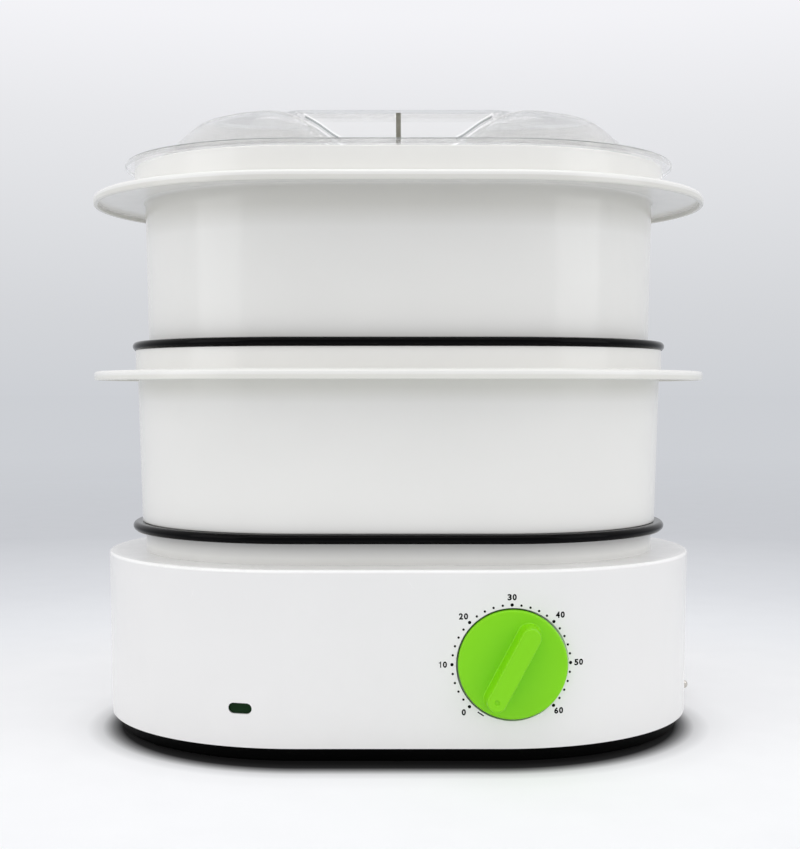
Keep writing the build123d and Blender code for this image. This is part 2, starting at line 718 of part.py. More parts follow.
def grate(seat_z, basket_foot_r):
    """Loose slotted floor: its rim hangs over the collar below and carries a basket."""
    top_z = seat_z - GRATE_LIP + GRATE_H
    edge_r = GRATE_H / 2
    lip_in = COLLAR_R + FIT
    bead_out = basket_foot_r - BASKET_WALL - FIT
    bead_in = bead_out - BEAD_W
    floor_z = seat_z + GRATE_PLATE
    rim = Pos(GRATE_R - edge_r, top_z - edge_r) * Circle(edge_r)
    rim += Polygon((0, seat_z), (GRATE_R - edge_r, seat_z), (GRATE_R - edge_r, top_z),
                   (bead_out, top_z), (bead_out, top_z + GRATE_BEAD), (bead_in, top_z + GRATE_BEAD),
                   (bead_in, floor_z), (0, floor_z), align=None)
    rim -= Polygon((0, seat_z - GRATE_H), (lip_in, seat_z - GRATE_H), (lip_in, seat_z), (0, seat_z),
                   align=None)
    body = racetrack(Plane.XZ * rim)
    reach = bead_in - SLOT_MARGIN
    for side in (1, -1):
        end_x = STRAIGHT + sqrt(reach**2 - RIB_Y**2)
        y = side * RIB_Y
        body += block(-end_x, end_x, y - RIB_THICK / 2, y + RIB_THICK / 2, seat_z - RIB_DROP, seat_z)
    return body - grate_slots(reach, seat_z - CUT, floor_z + CUT)


def basket(foot_z, foot_r, neck_r, flange_z, collar_z):
    """Open-ended wall with a wide handling flange and a collar above it."""
    under = flange_z - FLANGE_H
    lip_z = under - FLANGE_LIP
    lip_in = FLANGE_R - BASKET_WALL
    return racetrack(
        section(
            (foot_r - BASKET_WALL, foot_z),
            (foot_r, foot_z),
            (neck_r, under, NECK_ROUND),
            (lip_in, under, RIM_ROUND),
            (lip_in, lip_z),
            (FLANGE_R, lip_z, RIM_ROUND),
            (FLANGE_R, flange_z, FLANGE_EDGE),
            (COLLAR_R, flange_z, COLLAR_ROUND),
            (COLLAR_R, collar_z, RIM_ROUND),
            (COLLAR_R - BASKET_WALL, collar_z, RIM_ROUND),
            (COLLAR_R - BASKET_WALL, flange_z),
            (neck_r - BASKET_WALL, flange_z),
        )
    )


def lower_basket():
    foot_z = LOWER_SEAT_Z - GRATE_LIP + GRATE_H
    return basket(foot_z, COLLAR_R - LOWER_FOOT_IN, COLLAR_R - LOWER_NECK_IN, LOWER_FLANGE_Z, LOWER_COLLAR_Z)


def upper_basket():
    foot_z = UPPER_SEAT_Z - GRATE_LIP + GRATE_H
    return basket(foot_z, COLLAR_R - UPPER_FOOT_IN, COLLAR_R - UPPER_NECK_IN, UPPER_FLANGE_Z, UPPER_COLLAR_Z)


def scoop(wall):
    """Finger scoop in front of the grip bar, or with a wall the form round it."""
    run = [(SCOOP_HALF_L, CREST_Z - KNEE_DROP + SCOOP_RISE), (KNEE_HALF_L, CREST_Z - KNEE_DROP),
           (FLOOR_HALF_L, SCOOP_FLOOR_Z)]
    run += [(-x, z) for x, z in reversed(run)]
    run = shifted(run, wall)
    radii = [0, KNEE_ROUND - wall, FLOOR_ROUND + wall, FLOOR_ROUND + wall, KNEE_ROUND - wall, 0]
    over = CREST_Z + SCOOP_DEPTH
    run += [(run[-1][0], over), (run[0][0], over)]
    outline = make_face(FilletPolyline(*run, radius=radii + [0, 0], close=True))
    start = Pos(0, wall - GRIP_HALF_W, wall * ROOF_FALL) * (Plane.XZ * outline)
    return extrude(start, amount=LID_R, dir=(0, -1, -ROOF_FALL))


def dome(wall):
    """The lid's raised form, or with a wall the hollow under it."""
    low = UPPER_COLLAR_Z if wall else UPPER_COLLAR_Z + LID_H / 2
    lean = DOME_RUN / DOME_RISE
    foot = (DOME_FOOT_R + lean * LID_H, UPPER_COLLAR_Z)
    run = [foot, (DOME_TOP_R, DOME_TOP_Z), (CREST_HALF_W, CREST_Z), (0, CREST_Z)]
    foot, edge, crest, middle = shifted(run, wall)
    foot_r = foot[0] + lean * (foot[1] - low)
    form = racetrack(
        section(
            (0, low),
            (foot_r, low),
            (*edge, DOME_EDGE - wall),
            (*crest, CREST_ROUND - wall),
            middle,
        )
    )
    return form - scoop(wall) - Rot(0, 0, 180) * scoop(wall)


def lid():
    rib_r = COLLAR_R - BASKET_WALL - LID_RIB_GAP
    rim = racetrack(
        section(
            (0, UPPER_COLLAR_Z),
            (rib_r - LID_WALL, UPPER_COLLAR_Z),
            (rib_r - LID_WALL, UPPER_COLLAR_Z - LID_RIB_DROP),
            (rib_r, UPPER_COLLAR_Z - LID_RIB_DROP),
            (rib_r, UPPER_COLLAR_Z),
            (LID_R, UPPER_COLLAR_Z, LID_ROUND),
            (LID_R, LID_TOP_Z, LID_ROUND),
            (0, LID_TOP_Z),
        )
    )
    hollow = dome(LID_WALL)
    cover = rim + dome(0) - hollow
    rib = block(-LID_RIB_W / 2, LID_RIB_W / 2, -GRIP_HALF_W, GRIP_HALF_W, SCOOP_FLOOR_Z, CREST_Z)
    cover += rib & hollow
    for side in (1, -1):
        x = side * (STRAIGHT + VENT_HOLE_OUT)
        cover -= post(VENT_HOLE_R, x, VENT_HOLE_Y, SCOOP_FLOOR_Z, CREST_Z)
    return cover


# ---------------------------------------------------------------- knob and timer
def knob():
    back_y = RECESS_Y - KNOB_BACK
    disc = peg(KNOB_R, back_y, KNOB_FACE_Y)
    disc = fillet(disc.edges().group_by(Axis.Y)[0], KNOB_EDGE)
    disc -= peg(KNOB_R - KNOB_WALL, back_y, KNOB_FACE_Y + KNOB_WALL)
    disc += peg(HUB_R, back_y, KNOB_FACE_Y + KNOB_WALL / 2)
    outline = Plane.XZ * Rot(0, 0, 90 - GRIP_REST_ANGLE) * SlotOverall(GRIP_LENGTH, GRIP_WIDTH)
    bar = extrude(outline, amount=GRIP_RISE, taper=GRIP_DRAFT)
    bar = fillet(bar.edges().group_by(Axis.Y)[0], GRIP_EDGE)
    handle = disc + Pos(KNOB_X, KNOB_FACE_Y, KNOB_Z) * bar
    tip_x = KNOB_X - DIMPLE_RADIUS * sin(radians(GRIP_REST_ANGLE))
    tip_z = KNOB_Z - DIMPLE_RADIUS * cos(radians(GRIP_REST_ANGLE))
    face_y = KNOB_FACE_Y - GRIP_RISE
    handle -= peg(DIMPLE_R, face_y - CUT, face_y + DIMPLE_DEPTH, tip_x, tip_z)
    return handle - shaft_core(0)


def shaft_core(gap):
    """The timer's shaft, from inside the knob to the rear bearing."""
    return peg(SHAFT_R + gap, KNOB_FACE_Y - SHAFT_GRIP, TIMER_BACK_Y - TIMER_WALL / 2)


def timer_shaft():
    return shaft_core(0)


def timer_cam():
    front = TIMER_FRONT_Y + CAM_GAP
    cam = peg(CAM_R, front, front + CAM_H) - peg(SHAFT_R, front, front + CAM_H)
    return cam - peg(CAM_NOTCH_R, front, front + CAM_H, KNOB_X + CAM_R, KNOB_Z)


def timer_block(inset, y0, y1):
    """Square form of the timer with rounded corners."""
    size = TIMER_SIZE - 2 * inset
    outline = Plane.XZ * RectangleRounded(size, size, TIMER_CORNER - inset)
    return Pos(KNOB_X, y1, KNOB_Z) * extrude(outline, amount=y1 - y0)


def timer_case():
    case = timer_block(0, TIMER_FRONT_Y, TIMER_BACK_Y)
    case -= timer_block(TIMER_WALL, TIMER_FRONT_Y, TIMER_BACK_Y - TIMER_WALL)
    case -= shaft_core(RUNNING)
    return case


def timer_plate():
    """Front plate of the timer, with ears for the two screws."""
    plate = timer_block(0, CUP_BACK_Y, TIMER_FRONT_Y)
    plate -= peg(SHAFT_R + RUNNING, CUP_BACK_Y, TIMER_FRONT_Y)
    for side in (1, -1):
        x = KNOB_X + side * TIMER_SCREW_SPACING / 2
        plate -= peg(TIMER_SCREW_R, CUP_BACK_Y, TIMER_FRONT_Y, x)
    return plate


def timer_screws():
    screws = []
    for side in (1, -1):
        x = KNOB_X + side * TIMER_SCREW_SPACING / 2
        head = peg(TIMER_SCREW_HEAD_R, RECESS_Y - SCREW_HEAD_H, RECESS_Y, x)
        screws.append(head + peg(TIMER_SCREW_R, RECESS_Y, TIMER_FRONT_Y + TIMER_SCREW_PAST, x))
    return Compound(screws)


def mainspring():
    """Spiral strip: half rings whose centre changes side at each half turn."""
    strip = None
    for i in range(SPRING_HALF_TURNS):
        radius = SPRING_R + i * SPRING_PITCH / 2
        ring = Circle(radius + SPRING_STRIP) - Circle(radius)
        side = 1 if i % 2 == 0 else -1
        window = Pos(0, side * 2 * radius) * Rectangle(6 * radius, 4 * radius)
        half = Pos(-side * SPRING_PITCH / 4, 0) * (ring & window)
        strip = half if strip is None else strip + half
    back = TIMER_BACK_Y - TIMER_WALL - FIT
    return Pos(KNOB_X, back, KNOB_Z) * extrude(Plane.XZ * strip, amount=SPRING_W)


def timer_bell():
    dome_back = TIMER_BACK_Y + BELL_DEPTH
    bell = peg(BELL_R, TIMER_BACK_Y, dome_back)
    bell = fillet(bell.edges().group_by(Axis.Y)[-1], BELL_ROUND)
    inside = peg(BELL_R - BELL_SHEET, TIMER_BACK_Y, dome_back - BELL_SHEET)
    inside = fillet(inside.edges().group_by(Axis.Y)[-1], BELL_ROUND - BELL_SHEET)
    return bell - inside + peg(BELL_STUD_R, TIMER_BACK_Y, dome_back - BELL_SHEET / 2)


def contact_leaves():
    """Two spring leaves above the cam that switch the heater."""
    y0 = TIMER_FRONT_Y + CAM_GAP
    z = KNOB_Z + CAM_R + FIT
    x0 = KNOB_X - TIMER_SIZE / 2 + TIMER_WALL
    leaf = block(x0, x0 + LEAF_LENGTH, y0, y0 + LEAF_W, z, z + LEAF_H)
    return Compound([leaf, Pos(0, 0, LEAF_H + LEAF_GAP) * leaf])


# ---------------------------------------------------------------- pilot light
def lens_wall_y():
    """Y of the outer wall at the lens."""
    height = (LENS_Z - SHELL_LOW_Z) / (DECK_Z - SHELL_LOW_Z)
    radius = BASE_FOOT_R + (BASE_TOP_R - BASE_FOOT_R) * height
    return -sqrt(radius**2 - (abs(LENS_X) - STRAIGHT) ** 2)


def lens_back_y():
    return lens_wall_y() + SHELL_WALL + LENS_TAIL


def pilot_lens():
    body = slot_prism(LENS_LENGTH - 2 * LENS_GAP, LENS_HEIGHT - 2 * LENS_GAP, LENS_X, LENS_Z,
                      -BASE_TOP_R, lens_back_y())
    sunk = racetrack(section((0, 0), (BASE_FOOT_R - LENS_SINK, 0),
                             (BASE_FOOT_R - LENS_SINK, DECK_Z), (0, DECK_Z)))
    return body & sunk


def pilot_lamp():
    back = lens_back_y()
    return peg(LAMP_R, back + LAMP_GAP, back + LAMP_LENGTH, LENS_X, LENS_Z)


def lamp_holder():
    back = lens_back_y()
    length = LAMP_LENGTH + HOLDER_WALL
    tube = peg(LAMP_R + HOLDER_WALL, back + HOLDER_SETBACK, back + length, LENS_X, LENS_Z)
    return tube - peg(LAMP_R, back, back + LAMP_LENGTH, LENS_X, LENS_Z)


# ---------------------------------------------------------------- supply cord
def strain_relief():
    """Moulded sleeve through the rear wall, tapered along the cord."""
    inside_y = BASE_TOP_R - SHELL_WALL - RELIEF_SLACK
    flange_y = BASE_TOP_R - RELIEF_SUNK
    relief = peg(RELIEF_NECK_R, inside_y - RELIEF_BARB_H, BASE_TOP_R, CORD_X, CORD_Z)
    relief += peg(RELIEF_NECK_R + RELIEF_BARB, inside_y - RELIEF_BARB_H, inside_y, CORD_X, CORD_Z)
    relief += peg(RELIEF_FLANGE_R, flange_y, flange_y + RELIEF_FLANGE_H, CORD_X, CORD_Z)
    cone = Rot(-90, 0, 0) * Cone(RELIEF_ROOT_R, RELIEF_TIP_R, RELIEF_TIP_Y - flange_y)
    return relief + Pos(CORD_X, (flange_y + RELIEF_TIP_Y) / 2, CORD_Z) * cone


def coil_point(angle):
    """Point on the middle of the coil's turns."""
    a = radians(angle)
    return (COIL_X + COIL_RING_R * cos(a), COIL_Y + COIL_RING_R * sin(a), COIL_BUNDLE_R)


def plug_point(x, y):
    """Point at the plug's middle height, from its own width and depth."""
    a = radians(PLUG_TURN)
    return (PLUG_X + x * cos(a) - y * sin(a), PLUG_Y + x * sin(a) + y * cos(a), PLUG_H / 2)


# From the strain relief's tip to the coil, and from the coil to the plug's neck
ROUTE_TO_COIL = [
    (CORD_X, RELIEF_TIP_Y, CORD_Z),
    (CORD_X - 0.8, RELIEF_TIP_Y + 21.5, CORD_Z - 2.0),
    (CORD_X + 1.0, RELIEF_TIP_Y + 43.5, CORD_Z - 9.0),
    coil_point(COIL_ENTRY_ANGLE),
]
ROUTE_TO_PLUG = [
    coil_point(COIL_LEAVE_ANGLE),
    (COIL_X + 45.0, COIL_Y + 7.4, 3.5),
    (COIL_X + 58.0, COIL_Y - 20.5, 3.4),
    plug_point(0, PLUG_LENGTH + PLUG_RELIEF),
]


def cord_tube(route):
    """Round tube along straight runs joined by tangent arcs as large as the runs allow."""
    points = [Vector(*point) for point in route]
    radii = []
    for before, corner, after in zip(points, points[1:], points[2:]):
        turn = radians((corner - before).get_angle(after - corner))
        shorter = min((corner - before).length, (after - corner).length)
        radii.append(CORD_BEND * shorter / tan(turn / 2))
    path = FilletPolyline(*points, radius=radii)
    print("cord radii", [round(radius) for radius in radii], "length", round(path.length, 1))
    start = Plane(origin=path @ 0, z_dir=path % 0)
    tube = sweep(start * Circle(CORD_R), path=path)
    print("volume over section times length", round(tube.volume / (pi * CORD_R**2 * path.length), 4))
    return tube


def cord_coil():
    """Outer form of the coiled length."""
    return Pos(COIL_X, COIL_Y, COIL_BUNDLE_R) * Torus(COIL_RING_R, COIL_BUNDLE_R)


def on_plug(shape):
    return Pos(PLUG_X, PLUG_Y, PLUG_H / 2) * Rot(0, 0, PLUG_TURN) * shape


def plug_body():
    """Slim moulded plug that lies flat, with its own tapered cord neck."""
    outline = FilletPolyline(
        (-PLUG_FACE_W / 2, 0),
        (PLUG_FACE_W / 2, 0),
        (PLUG_WIDE_W / 2, PLUG_WIDE_Y),
        (PLUG_NECK_W / 2, PLUG_LENGTH),
        (-PLUG_NECK_W / 2, PLUG_LENGTH),
        (-PLUG_WIDE_W / 2, PLUG_WIDE_Y),
        radius=[PLUG_ROUND, PLUG_ROUND, PLUG_SIDE_ROUND] * 2,
        close=True,
    )
    body = Pos(0, 0, -PLUG_H / 2) * extrude(make_face(outline), amount=PLUG_H)
    rims = body.edges().group_by(Axis.Z)
    body = chamfer(rims[0] + rims[-1], PLUG_BEVEL)
    neck = Rot(-90, 0, 0) * Cone(PLUG_NECK_R, CORD_R + PLUG_SLEEVE, PLUG_RELIEF)
    return on_plug(body + Pos(0, PLUG_LENGTH + PLUG_RELIEF / 2, 0) * neck)


def plug_pins():
    pins = []
    for side in (1, -1):
        pin = Rot(90, 0, 0) * Cylinder(PIN_R, PIN_LENGTH)
        pin = fillet(pin.edges().group_by(Axis.Y)[0], PIN_ROUND)
        pins.append(on_plug(Pos(side * PIN_SPACING / 2, -PIN_LENGTH / 2, 0) * pin))
    return Compound(pins)


def terminal_block():
    """Moulded block with a wire bore and a screw hole for each pole."""
    x0, y0 = TERMINAL_X - TERMINAL_LENGTH / 2, TERMINAL_Y - TERMINAL_W / 2
    z0 = PLATE_FLOOR_Z
    body = block(x0, x0 + TERMINAL_LENGTH, y0, y0 + TERMINAL_W, z0, z0 + TERMINAL_H)
    pitch = TERMINAL_LENGTH / TERMINAL_POLES
    for i in range(TERMINAL_POLES):
        x = x0 + (i + 0.5) * pitch
        body -= peg(TERMINAL_BORE_R, y0, y0 + TERMINAL_W, x, z0 + TERMINAL_H / 2)
        body -= post(TERMINAL_BORE_R, x, TERMINAL_Y, z0 + TERMINAL_H / 2, z0 + TERMINAL_H)
    return body


# ---------------------------------------------------------------- export
PIECES = {
    "base_shell": base_shell,
    "bottom_plate": bottom_plate,
    "rubber_feet": rubber_feet,
    "housing_screws": housing_screws,
    "water_tank": water_tank,
    "heater_cap": heater_cap,
    "heater_seal": heater_seal,
    "heater_clamp": heater_clamp,
    "heater_nuts": heater_nuts,
    "heating_element": heating_element,
    "thermostat": thermostat,
    "thermostat_strap": thermostat_strap,
    "thermal_fuse": thermal_fuse,
    "steam_ring": steam_ring,
    "drip_tray": drip_tray,
    "lower_grate": lambda: grate(LOWER_SEAT_Z, COLLAR_R - LOWER_FOOT_IN),
    "lower_basket": lower_basket,
    "upper_grate": lambda: grate(UPPER_SEAT_Z, COLLAR_R - UPPER_FOOT_IN),
    "upper_basket": upper_basket,
    "lid": lid,
    "knob": knob,
    "timer_shaft": timer_shaft,
    "timer_cam": timer_cam,
    "timer_case": timer_case,
    "timer_plate": timer_plate,
    "timer_screws": timer_screws,
    "mainspring": mainspring,
    "timer_bell": timer_bell,
    "contact_leaves": contact_leaves,
    "pilot_lens": pilot_lens,
    "pilot_lamp": pilot_lamp,
    "lamp_holder": lamp_holder,
    "terminal_block": terminal_block,
    "strain_relief": strain_relief,
    "mains_cord": lambda: cord_tube(ROUTE_TO_COIL),
    "cord_coil": cord_coil,
    "cord_tail": lambda: cord_tube(ROUTE_TO_PLUG),
    "plug_body": plug_body,
    "plug_pins": plug_pins,
}


def main():
    os.makedirs("parts", exist_ok=True)
    for name, make in PIECES.items():
        export_step(Pos(0, FRAME_SHIFT_Y, 0) * make(), f"parts/{name}.step")


if __name__ == "__main__":
    main()
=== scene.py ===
import json
from math import atan2, cos, pi, radians, sin, tan, tau

import bmesh
import bpy
import numpy as np
from bpy.props import FloatProperty, FloatVectorProperty, PointerProperty
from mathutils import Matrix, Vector


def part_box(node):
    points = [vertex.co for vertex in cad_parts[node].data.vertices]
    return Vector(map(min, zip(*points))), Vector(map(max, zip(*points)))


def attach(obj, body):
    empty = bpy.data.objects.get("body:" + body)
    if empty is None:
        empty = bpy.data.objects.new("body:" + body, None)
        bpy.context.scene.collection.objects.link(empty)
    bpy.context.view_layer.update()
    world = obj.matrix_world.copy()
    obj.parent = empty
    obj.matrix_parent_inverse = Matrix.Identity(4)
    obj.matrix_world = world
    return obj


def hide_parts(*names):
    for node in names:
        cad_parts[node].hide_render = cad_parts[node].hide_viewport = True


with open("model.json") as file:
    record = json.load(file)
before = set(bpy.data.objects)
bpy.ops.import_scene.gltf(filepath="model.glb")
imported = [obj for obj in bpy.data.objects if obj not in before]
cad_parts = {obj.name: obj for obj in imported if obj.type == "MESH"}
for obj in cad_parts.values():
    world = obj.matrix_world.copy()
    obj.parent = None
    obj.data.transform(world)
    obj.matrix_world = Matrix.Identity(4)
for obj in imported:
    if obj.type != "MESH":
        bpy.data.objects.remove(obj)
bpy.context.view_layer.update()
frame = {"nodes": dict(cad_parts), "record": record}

bl_info = {
    "name": "Food Steamer",
    "version": (1, 0, 0),
    "blender": (4, 5, 0),
    "location": "3D View > Sidebar > Steamer",
    "description": "Builds an electric food steamer: base with a dial, drip tray, baskets, grates and lid",
    "category": "Add Mesh",
}

MM = 0.001
CENTRE_Y = 0.0023  # the middle of every tier, front to back
STRAIGHT = 47.5  # half of the straight side of every tier, in millimetres
SUPPORT = 0.3  # from the end of a rounding to the support point beyond it, in millimetres


# ---------------------------------------------------------------- sizes and colours
def length(name, description, default):
    """A size in metres that the sidebar shows in the scene's own units."""
    return FloatProperty(name=name, description=description, default=default, min=0.0,
                         precision=4, unit="LENGTH")


def colour(name, description, default):
    """A plain colour, red, green and blue."""
    return FloatVectorProperty(name=name, description=description, default=default, size=3,
                               min=0.0, max=1.0, subtype="COLOR")


class SteamerColours(bpy.types.PropertyGroup):
    """Colours of the moulded plastics and the print."""

    base_white: colour("Base white", "White of the base housing", (0.845, 0.84, 0.835))
    basket_white: colour("Basket white", "White of the baskets and the drip tray", (0.87, 0.865, 0.84))
    knob_green: colour("Knob green", "Green of the timer knob", (0.23, 0.69, 0.004))
    grate_black: colour("Grate black", "Glossy black of the grates", (0.002, 0.002, 0.0022))
    plate_black: colour("Bottom black", "Satin black of the bottom plate", (0.002, 0.002, 0.002))
    print_black: colour("Print black", "Ink of the dial's dots and numbers", (0.003, 0.003, 0.003))
    lens_green: colour("Lens green", "Green of the unlit pilot lens", (0.003, 0.022, 0.004))
    cord_white: colour("Cord white", "White of the supply cord and the plug", (0.76, 0.76, 0.75))


class SteamerBaskets(bpy.types.PropertyGroup):
    """Sizes that the two baskets share."""

    wall: length("Wall", "Thickness of the walls", 0.002)
    flange: length("Flange radius", "Radius at the ends of the handling flange",
                   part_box("lower_basket")[1][0] - STRAIGHT * MM)
    flange_height: length("Flange thickness", "Thickness of the handling flange", 0.0022)
    lip: length("Lip", "Depth of the lip under the flange's edge", 0.0024)


class SteamerKnob(bpy.types.PropertyGroup):
    """Sizes of the timer knob."""

    radius: length("Radius", "Radius of the knob's disc", 0.025)
    bar_length: length("Bar length", "Length of the grip bar at its foot", 0.0428)
    bar_width: length("Bar width", "Width of the grip bar at its foot", 0.0104)
    bar_rise: length("Bar rise", "Height of the grip bar over the disc", 0.011)
    bar_offset: length("Bar offset", "How far the bar's middle lies towards its pointing end", 0.0006)
    rest: FloatProperty(name="Rest angle", description="How far the bar leans to the right of upright",
                        default=radians(28), subtype="ANGLE")


class SteamerDial(bpy.types.PropertyGroup):
    """Sizes of the print round the knob."""

    ring: length("Dot ring", "Radius of the ring of dots", 0.02725)
    large_dot: length("Large dot", "Diameter of the dots at the tens", 0.00155)
    small_dot: length("Small dot", "Diameter of the dots between them", 0.0011)
    figure: length("Figure height", "Height of the numbers", 0.0029)


class SteamerCord(bpy.types.PropertyGroup):
    """Sizes of the supply cord."""

    diameter: length("Diameter", "Outer diameter of the cord's sheath", 0.0066)
    ring: length("Coil radius", "Radius at the middle of the coil's turns", 0.037)
    step: FloatProperty(name="Turn step", description="Angle between the coil's control points",
                        default=radians(22.5), subtype="ANGLE")


class SteamerStage(bpy.types.PropertyGroup):
    """Camera, lamps and background."""

    distance: length("Camera distance", "From the camera to the plane through the middle", 0.72735)
    height: length("Camera height", "Height of the camera over the worktop", 0.1715)
    tilt: FloatProperty(name="Camera tilt", description="How far the camera looks down",
                        default=0.0239, subtype="ANGLE")
    side_power: FloatProperty(name="Side lamps", description="Power of each lamp at the side",
                              default=2.0, min=0.0, unit="POWER")
    top_power: FloatProperty(name="Top lamp", description="Power of the lamp overhead",
                             default=3.6, min=0.0, unit="POWER")


# ---------------------------------------------------------------- shader nodes
def node(tree, kind, feeds=None, **settings):
    """Adds a shader node, sets it up, and feeds its inputs from values or other sockets."""
    made = tree.nodes.new(kind)
    for key, value in settings.items():
        setattr(made, key, value)
    for key, value in (feeds or {}).items():
        socket = made.inputs[key]
        if isinstance(value, bpy.types.NodeSocket):
            tree.links.new(value, socket)
        else:
            socket.default_value = value
    return made


def maths(tree, operation, *values):
    """Result of one Math node."""
    return node(tree, "ShaderNodeMath", dict(enumerate(values)), operation=operation).outputs[0]


def spread(tree, value, low, high, to_low, to_high):
    """A value carried from one range to another, held at the ends."""
    feeds = {"Value": value, "From Min": low, "From Max": high, "To Min": to_low, "To Max": to_high}
    return node(tree, "ShaderNodeMapRange", feeds).outputs["Result"]


def noise(tree, place, scale, detail=2.0):
    """Soft random values round a half."""
    feeds = {"Vector": place, "Scale": scale, "Detail": detail}
    return node(tree, "ShaderNodeTexNoise", feeds).outputs["Fac"]


def ramp_of(tree, value, stops):
    """A colour ramp from positions and colours."""
    made = node(tree, "ShaderNodeValToRGB", {"Fac": value})
    elements = made.color_ramp.elements
    elements[0].position, elements[0].color = stops[0][0], (*stops[0][1], 1)
    elements[1].position, elements[1].color = stops[-1][0], (*stops[-1][1], 1)
    for position, tint in stops[1:-1]:
        elements.new(position).color = (*tint, 1)
    return made.outputs["Color"]


def from_middle(tree, place, half, middle):
    """Distance, seen from above, from the line of this half length that runs through the middle."""
    across, forward, _ = node(tree, "ShaderNodeSeparateXYZ", {0: place}).outputs
    past = maths(tree, "MAXIMUM", maths(tree, "SUBTRACT", maths(tree, "ABSOLUTE", across), half), 0.0)
    flat = node(tree, "ShaderNodeCombineXYZ", {"X": past, "Y": maths(tree, "SUBTRACT", forward, middle)})
    return node(tree, "ShaderNodeVectorMath", {0: flat.outputs[0]}, operation="LENGTH").outputs["Value"]


SOCKETS = {type(None): "NodeSocketVector", tuple: "NodeSocketColor", float: "NodeSocketFloat"}


def new_group(name, inputs, outputs):
    """A shader node group and its two end nodes. An input's kind follows from its default, where None
    stands for a vector, and an output is given with its kind."""
    tree = bpy.data.node_groups.new(name, "ShaderNodeTree")
    for label, value in inputs.items():
        socket = tree.interface.new_socket(label, in_out="INPUT", socket_type=SOCKETS[type(value)])
        if value is not None:
            socket.default_value = value
    for label, kind in outputs.items():
        tree.interface.new_socket(label, in_out="OUTPUT", socket_type=f"NodeSocket{kind}")
    return tree, tree.nodes.new("NodeGroupInput").outputs, tree.nodes.new("NodeGroupOutput").inputs


def build_moulded_skin():
    """Skin of a moulding: colour drifts, gloss clouds, and a slow ripple carries a fine grain."""
    tree, given, out = new_group(
        "Moulded Skin",
        {"Place": None, "Colour": (0.8, 0.8, 0.8, 1), "Drift": 0.02, "Roughness": 0.2, "Cloud": 0.03,
         "Ripple Height": 0.00002, "Ripple Size": 0.02, "Grain Height": 0.000004, "Grain Size": 0.0006},
        {"Colour": "Color", "Roughness": "Float", "Normal": "Vector"},
    )
    place = given["Place"]
    drift = spread(tree, noise(tree, place, 14.0), 0.3, 0.7, -1.0, 1.0)
    shade = maths(tree, "MULTIPLY_ADD", drift, given["Drift"], 1.0)
    tinted = node(tree, "ShaderNodeVectorMath", {0: given["Colour"], "Scale": shade}, operation="SCALE")
    cloud = spread(tree, noise(tree, place, 70.0, 4.0), 0.3, 0.7, -1.0, 1.0)
    rough = maths(tree, "MULTIPLY_ADD", cloud, given["Cloud"], given["Roughness"])
    ripple = noise(tree, place, maths(tree, "DIVIDE", 1.0, given["Ripple Size"]), 1.0)
    grain = noise(tree, place, maths(tree, "DIVIDE", 1.0, given["Grain Size"]), 2.0)
    slow = node(tree, "ShaderNodeBump", {"Height": ripple, "Distance": given["Ripple Height"]})
    fine = node(tree, "ShaderNodeBump", {"Height": grain, "Distance": given["Grain Height"],
                                         "Normal": slow.outputs["Normal"]})
    tree.links.new(tinted.outputs["Vector"], out["Colour"])
    tree.links.new(rough, out["Roughness"])
    tree.links.new(fine.outputs["Normal"], out["Normal"])
    return tree


def build_fine_rubs():
    """Mask of hairline rubs: cell edges stretched long and thin, kept only in patches."""
    tree, given, out = new_group("Fine Rubs", {"Place": None, "Size": 0.02, "Amount": 1.0},
                                 {"Mask": "Float"})
    place = given["Place"]
    scale = maths(tree, "DIVIDE", 1.0, given["Size"])
    lines = None
    for turn in (0.5, 2.1):
        turned = node(tree, "ShaderNodeMapping",
                      {"Vector": place, "Rotation": (turn, turn * 0.7, turn * 1.3), "Scale": (1, 7, 1)})
        cells = node(tree, "ShaderNodeTexVoronoi", {"Vector": turned.outputs[0], "Scale": scale},
                     feature="DISTANCE_TO_EDGE")
        line = spread(tree, cells.outputs["Distance"], 0.0, 0.012, 1.0, 0.0)
        lines = line if lines is None else maths(tree, "MAXIMUM", lines, line)
    patch = spread(tree, noise(tree, place, maths(tree, "MULTIPLY", scale, 0.6), 3.0), 0.5, 0.7, 0.0, 1.0)
    kept = maths(tree, "MULTIPLY", lines, patch)
    tree.links.new(maths(tree, "MULTIPLY", kept, given["Amount"]), out["Mask"])
    return tree


def build_edge_rub():
    """Mask of worn convex edges: where the surface is pointed, broken up by noise."""
    tree, given, out = new_group("Edge Rub", {"Place": None, "Amount": 0.5}, {"Mask": "Float"})
    pointed = node(tree, "ShaderNodeNewGeometry").outputs["Pointiness"]
    edge = spread(tree, pointed, 0.52, 0.60, 0.0, 1.0)
    broken = spread(tree, noise(tree, given["Place"], 160.0, 4.0), 0.35, 0.65, 0.2, 1.0)
    both = maths(tree, "MULTIPLY", edge, broken)
    tree.links.new(maths(tree, "MULTIPLY", both, given["Amount"]), out["Mask"])
    return tree


def build_tool_lines():
    """Fine tool lines: noise drawn out along the X axis of Place."""
    tree, given, out = new_group("Tool Lines", {"Place": None, "Pitch": 0.0004}, {"Lines": "Float"})
    drawn = node(tree, "ShaderNodeVectorMath", {0: given["Place"], 1: (0.02, 1.0, 1.0)},
                 operation="MULTIPLY").outputs["Vector"]
    scale = maths(tree, "DIVIDE", 1.0, given["Pitch"])
    tree.links.new(noise(tree, drawn, scale, 3.0), out["Lines"])
    return tree


def use(tree, group, **feeds):
    """Places a node group; underscores in the names of its inputs stand for spaces."""
    named = {key.replace("_", " "): value for key, value in feeds.items()}
    return node(tree, "ShaderNodeGroup", named, node_tree=group).outputs


